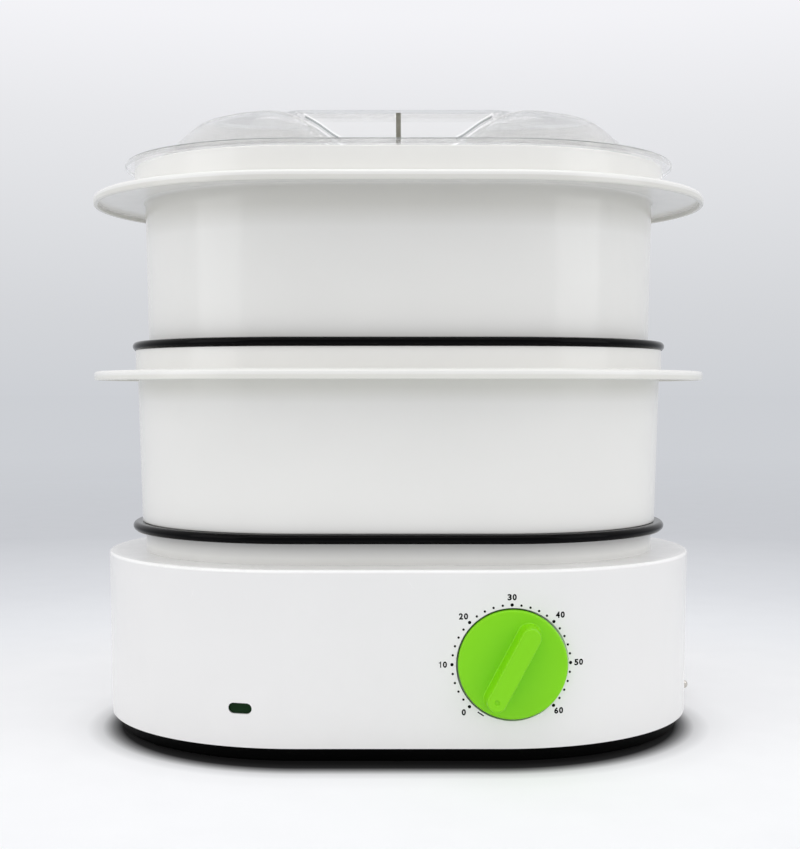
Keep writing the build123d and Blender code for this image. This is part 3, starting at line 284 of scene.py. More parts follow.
def new_material(name):
    """An empty material: its tree, its shader, and the object's own coordinates."""
    material = bpy.data.materials.new(name)
    material.use_nodes = True
    tree = material.node_tree
    shader = tree.nodes["Principled BSDF"]
    place = tree.nodes.new("ShaderNodeTexCoord").outputs["Object"]
    return material, tree, shader, place


def plastic(name, tint, gloss, groups, drift=0.012, cloud=0.03, ripple=0.00002, ripple_size=0.02,
            grain=0.0000015, grain_size=0.0005, rubs=0.12, wear=0.15, wear_tint=None, **constants):
    """Moulded plastic: the skin's colour and gloss, hairline rubs and lightly worn edges."""
    material, tree, shader, place = new_material(name)
    skin = use(tree, groups["skin"], Place=place, Colour=(*tint, 1), Drift=drift, Roughness=gloss,
               Cloud=cloud, Ripple_Height=ripple, Ripple_Size=ripple_size, Grain_Height=grain,
               Grain_Size=grain_size)
    rub = use(tree, groups["rubs"], Place=place, Size=0.03, Amount=rubs)["Mask"]
    edge = use(tree, groups["edge"], Place=place, Amount=wear)["Mask"]
    worn = wear_tint or tuple(min(1.0, c * 1.06 + 0.01) for c in tint)
    mixed = node(tree, "ShaderNodeMix", {"Factor": edge, 6: skin["Colour"], 7: (*worn, 1)},
                 data_type="RGBA")
    rough = maths(tree, "ADD", skin["Roughness"], rub)
    tree.links.new(mixed.outputs[2], shader.inputs["Base Color"])
    tree.links.new(maths(tree, "ADD", rough, maths(tree, "MULTIPLY", edge, 0.2)),
                   shader.inputs["Roughness"])
    tree.links.new(skin["Normal"], shader.inputs["Normal"])
    for key, value in constants.items():
        shader.inputs[key.replace("_", " ")].default_value = value
    return material


def metal(name, tint, gloss, groups, stain=0.1):
    """Drawn or turned metal: tool lines in gloss and height, with a slow stain in its colour."""
    material, tree, shader, place = new_material(name)
    lines = use(tree, groups["lines"], Place=place, Pitch=0.0004)["Lines"]
    skin = use(tree, groups["skin"], Place=place, Colour=(*tint, 1), Drift=stain, Roughness=gloss,
               Cloud=0.06, Ripple_Height=0.00001, Ripple_Size=0.01, Grain_Height=0.000001,
               Grain_Size=0.0003)
    rub = use(tree, groups["rubs"], Place=place, Size=0.012, Amount=0.2)["Mask"]
    rough = maths(tree, "ADD", spread(tree, lines, 0.3, 0.7, -0.07, 0.07), skin["Roughness"])
    ridged = node(tree, "ShaderNodeBump", {"Height": lines, "Distance": 0.000004,
                                           "Normal": skin["Normal"]})
    tree.links.new(skin["Colour"], shader.inputs["Base Color"])
    tree.links.new(maths(tree, "ADD", rough, rub), shader.inputs["Roughness"])
    tree.links.new(ridged.outputs["Normal"], shader.inputs["Normal"])
    shader.inputs["Metallic"].default_value = 1.0
    return material


def clear_lid_plastic(groups):
    """Clear moulding: full transmission, faint rubs and ripple in its surface. Its thin walls bend
    little of what is seen through them, so part of the light goes straight on. Along its moulded
    edges, where the mesh's ridge value nears 0, a glowing painted highlight lies beside a painted dark
    line."""
    material, tree, shader, place = new_material("Clear Plastic")
    skin = use(tree, groups["skin"], Place=place, Colour=(1.0, 1.0, 0.985, 1), Drift=0.004,
               Roughness=0.03, Cloud=0.015, Ripple_Height=0.00001, Ripple_Size=0.03,
               Grain_Height=0.0000002, Grain_Size=0.0004)
    rub = use(tree, groups["rubs"], Place=place, Size=0.03, Amount=0.04)["Mask"]
    # Painted highlight and painted dark line along the lid's moulded edges, placed by the ridge value.
    painted_line_ridge = node(tree, "ShaderNodeAttribute", attribute_name="painted_line_ridge").outputs["Fac"]
    dark, pale = (
        spread(tree, maths(tree, "ABSOLUTE", maths(tree, "ADD", painted_line_ridge, shift)), 0.2, 0.5, 1.0, 0.0)
        for shift in (0.45, -0.5)
    )
    # The painted dark line, mixed into the colour.
    lined = node(tree, "ShaderNodeMix", {"Factor": dark, 6: skin["Colour"], 7: (0.22, 0.24, 0.24, 1)},
                 data_type="RGBA")
    both = maths(tree, "MAXIMUM", dark, pale)
    tree.links.new(spread(tree, both, 0.0, 1.0, 0.42, 0.9), shader.inputs["Alpha"])
    # The painted highlight line glows through the emission.
    tree.links.new(node(tree, "ShaderNodeCombineColor", {0: pale, 1: pale, 2: pale}).outputs[0],
                   shader.inputs["Emission Color"])
    shader.inputs["Emission Strength"].default_value = 0.25
    tree.links.new(lined.outputs[2], shader.inputs["Base Color"])
    tree.links.new(maths(tree, "ADD", skin["Roughness"], rub), shader.inputs["Roughness"])
    tree.links.new(skin["Normal"], shader.inputs["Normal"])
    shader.inputs["Transmission Weight"].default_value = 1.0
    shader.inputs["IOR"].default_value = 1.22
    return material


def grey(value):
    """An even shade, red, green and blue."""
    return (value,) * 3


# Painted light at heights in metres: a painted highlight along the deck's edge, painted shade on the
# walls under the flanges and painted shade on the tray's wall under the grate's rim.
DECK_EDGE_PAINTED_HIGHLIGHT = ((0.0888, grey(1.0)), (0.0896, grey(1.16)), (0.0902, grey(1.16)), (0.0905, grey(1.05)))
UNDER_FLANGES_PAINTED_SHADE = ((0.166, grey(1.0)), (0.1735, (0.88, 0.88, 0.85)), (0.1790, (0.9, 0.9, 0.87)),
                 (0.1796, grey(1.0)), (0.248, grey(1.0)), (0.259, (0.86, 0.855, 0.83)),
                 (0.268, (0.85, 0.845, 0.82)), (0.2685, grey(1.0)))
TRAY_WALL_PAINTED_SHADE = ((0.0935, grey(1.0)), (0.1, (0.6, 0.6, 0.605)))


def paint_light_by_height(material, stops, beyond):
    """Multiplies a finish's colour by painted shade and highlight given at heights in its own
    coordinates, where the surface is farther than beyond from the middle line of the tiers."""
    tree = material.node_tree
    place = node(tree, "ShaderNodeTexCoord").outputs["Object"]
    height = node(tree, "ShaderNodeSeparateXYZ", {0: place}).outputs["Z"]
    low, high = stops[0][0], stops[-1][0]
    shades = ramp_of(tree, spread(tree, height, low, high, 0.0, 1.0),
                     [((level - low) / (high - low), shade) for level, shade in stops])
    outside = maths(tree, "GREATER_THAN", from_middle(tree, place, STRAIGHT * MM, CENTRE_Y), beyond)
    kept = node(tree, "ShaderNodeMix", {"Factor": outside, 6: (1, 1, 1, 1), 7: shades}, data_type="RGBA")
    colour_in = tree.nodes["Principled BSDF"].inputs["Base Color"]
    shaded = node(tree, "ShaderNodeVectorMath", {0: colour_in.links[0].from_socket, 1: kept.outputs[2]},
                  operation="MULTIPLY")
    tree.links.new(shaded.outputs["Vector"], colour_in)
    return material


def rib_painted_shade_plastic(groups):
    """Clear rib with painted shade: dark where it is seen edgewise, and nearly clear through its
    broad sides.
    """
    material = plastic("Rib Painted Shade Edgewise", (0.30, 0.29, 0.24), 0.3, groups, drift=0.1, wear=0.0,
                       Specular_IOR_Level=0.1)
    tree = material.node_tree
    normal = node(tree, "ShaderNodeTexCoord").outputs["Normal"]
    across = maths(tree, "ABSOLUTE", node(tree, "ShaderNodeSeparateXYZ", {0: normal}).outputs["X"])
    alpha = spread(tree, across, 0.4, 0.9, 0.85, 0.12)
    tree.links.new(alpha, tree.nodes["Principled BSDF"].inputs["Alpha"])
    return material


def make_materials(colours):
    """All of the steamer's finishes, by the record's slot names, and by names of their own for the
    print, the tray with its painted shade and the lid's rib with its painted shade."""
    groups = {"skin": build_moulded_skin(), "rubs": build_fine_rubs(), "edge": build_edge_rub(),
              "lines": build_tool_lines()}
    return {
        # The housing's white, with a painted highlight along the deck's edge.
        "white_plastic": paint_light_by_height(
            plastic("Base White Plastic", colours.base_white, 0.16, groups), DECK_EDGE_PAINTED_HIGHLIGHT, 0.099),
        # The baskets' white, with painted shade on the walls under the flanges.
        "basket_plastic": paint_light_by_height(
            plastic("Basket White Plastic", colours.basket_white, 0.15, groups, ripple=0.00004,
                    ripple_size=0.035), UNDER_FLANGES_PAINTED_SHADE, 0.07),
        "black_plastic": plastic("Glossy Black Plastic", colours.grate_black, 0.09, groups, drift=0.1,
                                 wear_tint=(0.004, 0.004, 0.0045), rubs=0.1, Specular_IOR_Level=0.06),
        "black_base": plastic("Satin Black Plastic", colours.plate_black, 0.42, groups, drift=0.15,
                              grain=0.00002, grain_size=0.0007, wear_tint=grey(0.006),
                              Specular_IOR_Level=0.05),
        "green_plastic": plastic("Knob Green Plastic", colours.knob_green, 0.36, groups, drift=0.02,
                                 grain=0.000008, cloud=0.05, Specular_IOR_Level=0.3),
        "tank_plastic": plastic("Tank Plastic", (0.70, 0.70, 0.68), 0.3, groups),
        "grey_plastic": plastic("Grey Plastic", (0.32, 0.33, 0.34), 0.35, groups, drift=0.04),
        "rubber": plastic("Rubber", grey(0.02), 0.7, groups, drift=0.2, grain=0.00002),
        "silicone": plastic("Silicone", (0.45, 0.12, 0.06), 0.45, groups, drift=0.05),
        "lens_green": plastic("Lens Green", colours.lens_green, 0.08, groups, drift=0.2,
                              Specular_IOR_Level=0.1),
        "lamp_glass": plastic("Lamp Glass", (0.55, 0.32, 0.2), 0.08, groups, drift=0.1),
        "ceramic": plastic("Ceramic", (0.72, 0.70, 0.64), 0.5, groups, drift=0.04),
        "cord_white": plastic("Cord White", colours.cord_white, 0.38, groups, drift=0.02,
                              grain=0.000006, grain_size=0.0009),
        "print_black": plastic("Print Black", colours.print_black, 0.4, groups, drift=0.2, wear=0.0,
                               Specular_IOR_Level=0.05),
        # The tray's white, with painted shade on its wall under the grate's rim.
        "tray_plastic_painted_shade": paint_light_by_height(
            plastic("Tray White Plastic Painted Shade", colours.basket_white, 0.15, groups), TRAY_WALL_PAINTED_SHADE, 0.07),
        # The lid's rib, with painted shade where it is seen edgewise.
        "rib_painted_shade": rib_painted_shade_plastic(groups),
        "steel": metal("Steel", (0.55, 0.55, 0.56), 0.28, groups),
        "aluminium": metal("Aluminium", grey(0.78), 0.35, groups),
        "brass": metal("Brass", (0.72, 0.52, 0.24), 0.3, groups),
        "nickel": metal("Nickel", (0.66, 0.63, 0.58), 0.16, groups, stain=0.06),
        # The clear lid, with a painted highlight and a painted dark line along its moulded edges.
        "clear_plastic": clear_lid_plastic(groups),
    }


MATERIALS = {}


def finish_of(name):
    """The finish of this name. All are made when the first is asked for."""
    if not MATERIALS:
        MATERIALS.update(make_materials(bpy.context.scene.steamer_colours))
    return MATERIALS[name]


# ---------------------------------------------------------------- surfaces
def racetrack(half, side_steps=10, arc_steps=56, near=()):
    """Columns of a racetrack path: the middle's place and the outward direction of each.
    Along a side the middle runs from -half to half; round an end it stays, while the direction makes
    half a turn. Distances in near add columns that far from each end's centre."""
    even = np.linspace(-half, half, side_steps, endpoint=False)
    close = half - np.asarray(near, dtype=float)
    along = np.unique(np.round(np.concatenate([even, -even[1:], close, -close]), 9))
    turn = np.linspace(-pi / 2, pi / 2, arc_steps, endpoint=False)
    ends = np.full(arc_steps, half)
    middle = np.concatenate([along, ends, -along, -ends])
    angle = np.concatenate([np.full(len(along), -pi / 2), turn, np.full(len(along), pi / 2), turn + pi])
    return middle, np.cos(angle), np.sin(angle)


def circle(steps):
    """Columns of a round path: the direction makes one turn about a fixed middle."""
    angle = np.linspace(0, tau, steps, endpoint=False)
    return np.zeros(steps), np.cos(angle), np.sin(angle)


def carried(profile, path):
    """A profile of radius and height carried round a path, as rows by columns of points:
    x is middle + radius * cos, y is radius * sin, and z is the height."""
    middle, across, forward = path
    radius, height = profile[:, :1], profile[:, 1:]
    flat = np.broadcast_to(height, (len(profile), len(middle)))
    return np.stack([middle + radius * across, radius * forward, flat], axis=-1)


def rounded(corners, steps=5, closed=True):
    """Outline through corners given as radius, height and rounding. An arc touches both sides at
    rounding / tan(half the corner), with a support point beyond each end where the side has room."""
    place = np.array([corner[:2] for corner in corners], dtype=float)
    back = np.roll(place, 1, axis=0) - place
    ahead = np.roll(place, -1, axis=0) - place
    run = np.linalg.norm(ahead, axis=1)
    back, ahead = back / np.linalg.norm(back, axis=1)[:, None], ahead / run[:, None]
    half = np.arccos(np.clip((back * ahead).sum(axis=1), -1, 1)) / 2
    rounding = np.array([corner[2] for corner in corners], dtype=float)
    reach = rounding / np.tan(half)
    room = run - reach - np.roll(reach, -1) > 3 * SUPPORT
    outline = []
    for i in range(len(corners)):
        if rounding[i] == 0 or (not closed and i in (0, len(corners) - 1)):
            outline.append(place[i : i + 1])
            continue
        bisector = back[i] + ahead[i]
        centre = place[i] + bisector / np.linalg.norm(bisector) * rounding[i] / sin(half[i])
        start, end = place[i] + back[i] * reach[i] - centre, place[i] + ahead[i] * reach[i] - centre
        first, last = atan2(start[1], start[0]), atan2(end[1], end[0])
        angle = first + ((last - first + pi) % tau - pi) * np.linspace(0, 1, steps + 1)
        arc = centre + rounding[i] * np.stack([np.cos(angle), np.sin(angle)], axis=1)
        if room[i - 1]:
            outline.append((place[i] + back[i] * (reach[i] + SUPPORT))[None])
        outline.append(arc)
        if room[i]:
            outline.append((place[i] + ahead[i] * (reach[i] + SUPPORT))[None])
    return np.concatenate(outline)


def grid_faces(rows, columns, closed_rows=False):
    """Quads of a grid that closes round its columns, and round its rows where asked."""
    i = np.arange(rows if closed_rows else rows - 1)[:, None]
    j = np.arange(columns)[None, :]
    above, beside = (i + 1) % rows, (j + 1) % columns
    corners = (i * columns + j, i * columns + beside, above * columns + beside, above * columns + j)
    return np.stack(np.broadcast_arrays(*corners), axis=-1).reshape(-1, 4)


def add_piece(name, shells, slot, body, finish=None, stands_for=(), sharp=radians(34)):
    """One object from shells of points in metres and faces; points that fall together are merged,
    so that the rows drawn in to an axis close."""
    points = np.concatenate([shell[0].reshape(-1, 3) for shell in shells])
    faces, start = [], 0
    for shell_points, shell_faces in shells:
        faces += (np.asarray(shell_faces) + start).tolist() if isinstance(shell_faces, np.ndarray) else [
            [index + start for index in face] for face in shell_faces]
        start += shell_points.reshape(-1, 3).shape[0]
    mesh = bpy.data.meshes.new(name)
    mesh.from_pydata(points.tolist(), [], faces)
    whole = bmesh.new()
    whole.from_mesh(mesh)
    bmesh.ops.remove_doubles(whole, verts=whole.verts, dist=1e-7)
    bmesh.ops.dissolve_degenerate(whole, edges=whole.edges, dist=1e-8)
    whole.to_mesh(mesh)
    whole.free()
    mesh.polygons.foreach_set("use_smooth", np.ones(len(mesh.polygons), dtype=bool))
    mesh.set_sharp_from_angle(angle=sharp)
    mesh.materials.append(finish_of(finish or slot))
    piece = bpy.data.objects.new(name, mesh)
    bpy.context.scene.collection.objects.link(piece)
    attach(piece, body)
    if stands_for:
        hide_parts(*stands_for)
    return piece


def tier_shell(corners):
    """Closed shell of a tier: its section, in millimetres, carried round the racetrack."""
    profile = rounded(corners)
    points = carried(profile, racetrack(STRAIGHT)) * MM + (0, CENTRE_Y, 0)
    return points, grid_faces(len(profile), points.shape[1], closed_rows=True)


# ---------------------------------------------------------------- baskets
def basket_corners(foot, neck, collar, wall, flange, thick, lip):
    """Section of a basket from its foot, out under the flange, over its edge, up the collar and down
    inside. Foot, neck and collar are radius and height, in millimetres, as the other sizes are."""
    (foot_r, foot_z), (neck_r, top_z), (collar_r, collar_z) = foot, neck, collar
    under = top_z - thick
    return [
        (foot_r - wall, foot_z, 0.5), (foot_r, foot_z, 0.5), (neck_r, under, 1.5),
        (flange - wall, under, 0.6), (flange - wall, under - lip, 0.4), (flange, under - lip, 0.6),
        (flange, top_z, 1.6), (collar_r, top_z, 1.0), (collar_r, collar_z, 0.6),
        (collar_r - wall, collar_z, 0.6), (collar_r - wall, top_z, 0.8), (neck_r - wall, top_z, 0.5),
    ]


class STEAMER_OT_baskets(bpy.types.Operator):
    """Build the two baskets with their handling flanges"""

    bl_idname = "steamer.baskets"
    bl_label = "Build the Baskets"

    def execute(self, context):
        """Carries each basket's section round the racetrack."""
        size = context.scene.steamer_baskets
        shared = [value / MM for value in (size.wall, size.flange, size.flange_height, size.lip)]
        tiers = {"lower_basket": ((85.7, 105.1), (87.9, 181.7), (89.0, 194.2)),
                 "upper_basket": ((82.2, 196.8), (83.8, 270.6), (89.0, 284.9))}
        for body, tier in tiers.items():
            shell = tier_shell(basket_corners(*tier, *shared))
            add_piece(f"{body}_shell", [shell], "white_plastic", body, "basket_plastic", [body])
        return {"FINISHED"}


# ---------------------------------------------------------------- lid
def block_shell(low, high):
    """Closed box between two corners, in millimetres from the middle of the tiers."""
    points = np.array([[(low, high)[(i >> k) & 1][k] for k in range(3)] for i in range(8)], dtype=float)
    faces = [[0, 4, 6, 2], [1, 3, 7, 5], [0, 1, 5, 4], [2, 6, 7, 3], [0, 2, 3, 1], [4, 5, 7, 6]]
    return points * MM + (0, CENTRE_Y, 0), faces


CREST_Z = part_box("lid")[1][2] / MM  # the lid's crest
SCOOP_FLOOR = CREST_Z - 18.4  # the finger scoops' floors, beside the bar
ROOF_FALL = 0.19  # fall of the roof and of the scoops' floors per millimetre outwards
GRIP_HALF = 11.0  # half the width of the grip bar
BAR_SIDE = (0.0, 0.3, 0.36, 0.4)  # rows down the bar's steep side, from its edge outwards
SIDE_OVER_FLOOR = (30, 2.3, 0.9, 0)  # how far those rows may stand over the scoop's floor
WORN = 0.7  # width and depth of the bar's worn edge
LID_WALL = 2.0
RIM_R = 94.0  # the rim's radius at the ends
RIM_TOP, RIM_FOOT = 287.5, 284.9  # its faces; the lower one rests on the upper basket
SPIGOT_R, SPIGOT_FOOT = 86.6, 280.9  # the ring under the rim that locates the lid in the basket
SPIGOT_WALL = 2.0
RIB_HALF, RIB_FOOT, RIB_TOP = 1.25, 302.3, 315.2  # the cross rib under the grip bar
NO_LINE = 3.0  # the ridge value away from the moulded edges, where no painted line lies


def pushed(outline, depth):
    """An outline moved sideways by a depth, along the normals on its left."""
    step = np.gradient(outline, axis=0)
    step /= np.linalg.norm(step, axis=1)[:, None]
    return outline + depth * np.stack([-step[:, 1], step[:, 0]], axis=1)


def height_at(outline, where):
    """Height of an outline that runs inwards, at these distances."""
    return np.interp(where, outline[::-1, 0], outline[::-1, 1])


def soft_least(one, other, blend):
    """The lesser of two heights: where they are closer than blend, with h = 1/2 + (other - one) /
    (2 blend), it is other + h (one - other) - blend h (1 - h)."""
    h = np.clip(0.5 + 0.5 * (other - one) / blend, 0, 1)
    return other + h * (one - other) - blend * h * (1 - h)


def from_line(x, y):
    """Distance from the tiers' middle line, which runs through the centres of both ends."""
    return np.hypot(np.maximum(np.abs(x) - STRAIGHT, 0), y)


def roof_and_floor(x, y, depth=0.0):
    """Heights of the dome and of the finger scoops at x and y, this deep below the outside. The
    dome's section lies across the distance from the middle line. A scoop's section runs along x
    and falls with the roof as y grows."""
    dome = rounded([(94.0, 274.7, 0), (57.0, 307.8, 14.0), (6.0, CREST_Z, 56.0), (0, CREST_Z, 0)],
                   steps=24, closed=False)
    dip = rounded([(75.0, CREST_Z + 0.4, 0), (50.3, CREST_Z - 2.3, 50.0), (27.9, SCOOP_FLOOR, 25.0),
                   (0, SCOOP_FLOOR, 0)], steps=24, closed=False)
    roof = height_at(pushed(dome, depth), from_line(x, y))
    return roof, height_at(pushed(dip, depth), np.abs(x)) - ROOF_FALL * (np.abs(y) - GRIP_HALF)


def roof_heights(x, y, depth, plate):
    """Height of the lid at x and y: the dome, lowered to the finger scoops beside the grip bar, and
    never below the plate. Where the dome stands over a scoop, the bar's edge is worn along a
    quarter circle."""
    roof, floor = roof_and_floor(x, y, depth)
    side = np.abs(y) - (GRIP_HALF - depth)
    over = np.interp(side, BAR_SIDE, SIDE_OVER_FLOOR)
    worn = np.clip((side + WORN) / WORN, 0, 1)
    roof = roof - WORN * (1 - np.sqrt(1 - 0.98 * worn**2)) * np.clip((roof - floor) / 3, 0, 1)
    return np.maximum(soft_least(roof, floor + over, 1.6), plate)


def lid_grid():
    """The lid as rows by columns of points, in millimetres. The outer roof's rows, the rim's and the
    inner roof's run round the racetrack, and roof_heights lifts the roof's rows."""
    by_the_bar = [0, 2.5, 5.0, 7.0, 8.3, 8.65, 9.0, 9.4, 10.0, 10.3, 10.5, 10.7, 10.85, 10.95, 11.0,
                  11.3, 11.36, 11.4]
    reach = np.concatenate([by_the_bar, np.arange(12.2, 76.0, 0.84), [76.5, 78.0]])
    spigot = SPIGOT_R - SPIGOT_WALL
    rim = rounded([(79.7, RIM_TOP, 0), (RIM_R, RIM_TOP, 1.0), (RIM_R, RIM_FOOT, 1.0),
                   (SPIGOT_R, RIM_FOOT, 0.3), (SPIGOT_R, SPIGOT_FOOT, 0.4), (spigot, SPIGOT_FOOT, 0.4),
                   (spigot, RIM_FOOT, 0.3), (79.6, RIM_FOOT, 0)], closed=False)
    roof = np.c_[reach, reach]
    from_end = STRAIGHT - np.arange(18.0, 47.4, 0.84)
    near = np.r_[from_end, 2 * STRAIGHT - from_end]
    grid = carried(np.concatenate([roof, rim, roof[::-1]]), racetrack(STRAIGHT, 12, 64, near))
    for rows, depth, plate in ((slice(None, len(reach)), 0.0, RIM_TOP),
                               (slice(-len(reach), None), LID_WALL, RIM_FOOT)):
        grid[rows, :, 2] = roof_heights(grid[rows, :, 0], grid[rows, :, 1], depth, plate)
    return grid


def painted_line_ridge_at(x, y, z):
    """Ridge value for the painted lines of the clear finish: it falls through 0 down the grip bar's
    steep sides, and is the painted dark line's value along the rim's upper edge."""
    roof, floor = roof_and_floor(x, y)
    side = np.abs(y) - GRIP_HALF
    wall = (z > floor - 0.9) & (roof > floor + 0.2) & (np.abs(x) > 29.0) & (side < 0.5)
    painted_line_ridge = np.where(wall, np.interp(side, BAR_SIDE, (NO_LINE, 1.0, -0.3, -0.6)), NO_LINE)
    return np.where((from_line(x, y) > RIM_R - 0.6) & (z > RIM_TOP - 0.8), -0.45, painted_line_ridge)


class STEAMER_OT_lid(bpy.types.Operator):
    """Build the clear lid: its rim, the dome with two finger scoops, and the rib under the grip bar"""

    bl_idname = "steamer.lid"
    bl_label = "Build the Lid"

    def execute(self, context):
        """Builds the shell from its grid, stores where the painted lines lie along its moulded edges and
        adds the rib.
        """
        points = lid_grid() * MM + (0, CENTRE_Y, 0)
        shell = add_piece("lid_shell", [(points, grid_faces(*points.shape[:2])[:, ::-1])],
                          "clear_plastic", "lid", stands_for=["lid"])
        at = np.empty(len(shell.data.vertices) * 3)
        shell.data.vertices.foreach_get("co", at)
        # Ridge values that place the painted highlight and the painted dark line.
        painted_line_ridge = painted_line_ridge_at(*((at.reshape(-1, 3) - (0, CENTRE_Y, 0)) / MM).T)
        shell.data.attributes.new("painted_line_ridge", "FLOAT", "POINT").data.foreach_set("value", painted_line_ridge)
        across = GRIP_HALF - 0.4
        rib = block_shell((-RIB_HALF, -across, RIB_FOOT), (RIB_HALF, across, RIB_TOP))
        # The rib's finish paints shade where it is seen edgewise.
        add_piece("lid_rib", [rib], "clear_plastic", "lid", "rib_painted_shade")
        return {"FINISHED"}


# ---------------------------------------------------------------- knob and dial
KNOB_FACE = -103.4  # the disc's face, in millimetres from the middle
KNOB_X, _, KNOB_Z = (sum(ends) / 2 / MM for ends in zip(*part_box("knob")))  # its axis
KNOB_BACK = -5.9  # the disc's open back, measured from its face
KNOB_WALL = 2.2  # thickness of the disc and of its outer wall
SOCKET_R, SOCKET_END = 3.0, -0.6  # the shaft's socket behind the disc
BOSS_R = 5.2  # the boss round the socket
CROWN = 0.12  # how far the disc's middle swells
BAR_DRAFT = radians(4.2)  # how far the bar's sides lean in
DIMPLE_R, DIMPLE_DEPTH = 1.32, 0.5  # the small pit at the bar's lower end
DIMPLE_ROWS = (0.2, 0.45, 0.7, 0.9, 1.05, 1.18, 1.3, 1.45, 1.75)  # rows and columns that shape it
DIAL_X = KNOB_X - 0.43  # the print sits a little to the left of the knob's axis
OFF_ANGLE, OFF_RING = radians(212.8), 26.9  # the off mark's place, clockwise from the top
OFF_HALF = (1.65, 0.28)  # half its length and half its width
FIGURE_RINGS = (30.9, 31.6, 31.2, 30.8, 31.5, 31.15, 30.7)  # radius at each number, from 0 to 60


def facing_front(points):
    """Points of right, up and out, in millimetres, set on the knob's axis: out runs towards -Y from
    the disc's face."""
    right, up, out = points[..., 0], points[..., 1], points[..., 2]
    return np.stack([KNOB_X + right, KNOB_FACE - out + CENTRE_Y / MM, KNOB_Z + up], axis=-1) * MM


class STEAMER_OT_knob(bpy.types.Operator):
    """Build the timer knob: a hollow disc with a tapered grip bar"""

    bl_idname = "steamer.knob"
    bl_label = "Build the Knob"

    def execute(self, context):
        """Turns the disc's section round the axis, carries the bar's section round its outline, and
        sinks the pit into the bar's lower end."""
        size = context.scene.steamer_knob
        radius = size.radius / MM
        inside = radius - KNOB_WALL
        disc = rounded([
            (0, SOCKET_END, 0), (SOCKET_R, SOCKET_END, 0), (SOCKET_R, KNOB_BACK, 0),
            (BOSS_R, KNOB_BACK, 0.3), (BOSS_R, -KNOB_WALL, 0.4), (inside, -KNOB_WALL, 0.6),
            (inside, KNOB_BACK, 0.3), (radius, KNOB_BACK, 0.4), (radius, 0.0, 1.3),
            (radius * 0.6, CROWN, 6.0), (0, CROWN, 0),
        ], steps=6, closed=False)
        grid = carried(disc, circle(160))
        shells = [(facing_front(grid), grid_faces(*grid.shape[:2]))]

        half = (size.bar_length - size.bar_width) / 2 / MM
        foot, rise = size.bar_width / 2 / MM, size.bar_rise / MM
        top = foot - rise * tan(BAR_DRAFT)
        side = rounded([(0, -0.5, 0), (foot + 0.75, -0.5, 0), (foot + 0.6, 0.0, 0),
                        (foot - 0.05, 0.4, 0.9), (top, rise, 0.9), (2.6, rise, 0)],
                       steps=7, closed=False)
        cap = [(row, rise) for row in (*DIMPLE_ROWS[::-1], 0.0)]
        grid = carried(np.concatenate([side, cap]), racetrack(half, 12, 28, DIMPLE_ROWS))
        from_dimple = np.hypot(grid[..., 0] + half, grid[..., 1])
        sunk = DIMPLE_DEPTH * np.clip((DIMPLE_R - from_dimple) / 0.3, 0, 1) ** 2
        grid[..., 2] -= np.where(grid[..., 2] > rise - 0.01, sunk, 0)
        along, across = grid[..., 0] - size.bar_offset / MM, grid[..., 1]
        c, s = cos(size.rest), sin(size.rest)
        grid = np.stack([along * s - across * c, along * c + across * s, grid[..., 2]], axis=-1)
        shells.append((facing_front(grid), grid_faces(*grid.shape[:2])))
        add_piece("timer_knob", shells, "green_plastic", "knob", stands_for=["knob"], sharp=radians(40))
        return {"FINISHED"}


def wall_out(x, z):
    """How far the front wall stands out at x and z, in millimetres: the housing's radius grows evenly
    with height, and beyond the straight side the wall follows a circle about the end's centre."""
    radius = 101.2 + 1.3 * (z - 8.7) / 81.8
    past = np.maximum(np.abs(x) - STRAIGHT, 0)
    return np.sqrt(radius**2 - past**2)


def printed(points, x, z):
    """Flat print laid on the front wall: right and up from x and z, and its own small thickness."""
    right, up = x + points[..., 0], z + points[..., 1]
    return np.stack([right, CENTRE_Y / MM - wall_out(right, up) - points[..., 2], up], axis=-1) * MM


def printed_patch(outline, x, z):
    """A thin closed patch with this outline, half sunk in the wall."""
    count = len(outline)
    levels = np.array([-0.03, 0.02])[:, None]
    sides = np.concatenate([np.broadcast_to(outline, (2, count, 2)),
                            np.broadcast_to(levels, (2, count))[..., None]], axis=-1)
    faces = grid_faces(2, count).tolist() + [list(range(count))[::-1], list(range(count, 2 * count))]
    return printed(sides, x, z), faces


ONE = np.array([(0.03, -0.5), (0.19, -0.5), (0.19, 0.5), (0.07, 0.5), (0.03, 0.38), (-0.06, 0.33),
                (-0.18, 0.31), (-0.18, 0.20), (0.03, 0.20)])  # the figure 1, one unit high


def figure_shell(text, height, width, x, z):
    """The outline of a figure as thin solid print, drawn to a height and a width about its middle."""
    if text == "1":
        return printed_patch(ONE * height, x, z)
    curve = bpy.data.curves.new(text, "FONT")
    curve.body, curve.extrude, curve.resolution_u, curve.offset = text, 0.025, 4, 0.045
    holder = bpy.data.objects.new(text, curve)
    bpy.context.scene.collection.objects.link(holder)
    mesh = bpy.data.meshes.new_from_object(holder.evaluated_get(bpy.context.evaluated_depsgraph_get()))
    points = np.empty(len(mesh.vertices) * 3)
    mesh.vertices.foreach_get("co", points)
    points = points.reshape(-1, 3)
    low, high = points.min(axis=0), points.max(axis=0)
    flat = (points[:, :2] - (low[:2] + high[:2]) / 2) / (high[:2] - low[:2]) * (width, height)
    faces = [list(face.vertices) for face in mesh.polygons]
    bpy.data.objects.remove(holder)
    bpy.data.curves.remove(curve)
    bpy.data.meshes.remove(mesh)
    return printed(np.c_[flat, points[:, 2] - 0.005], x, z), faces


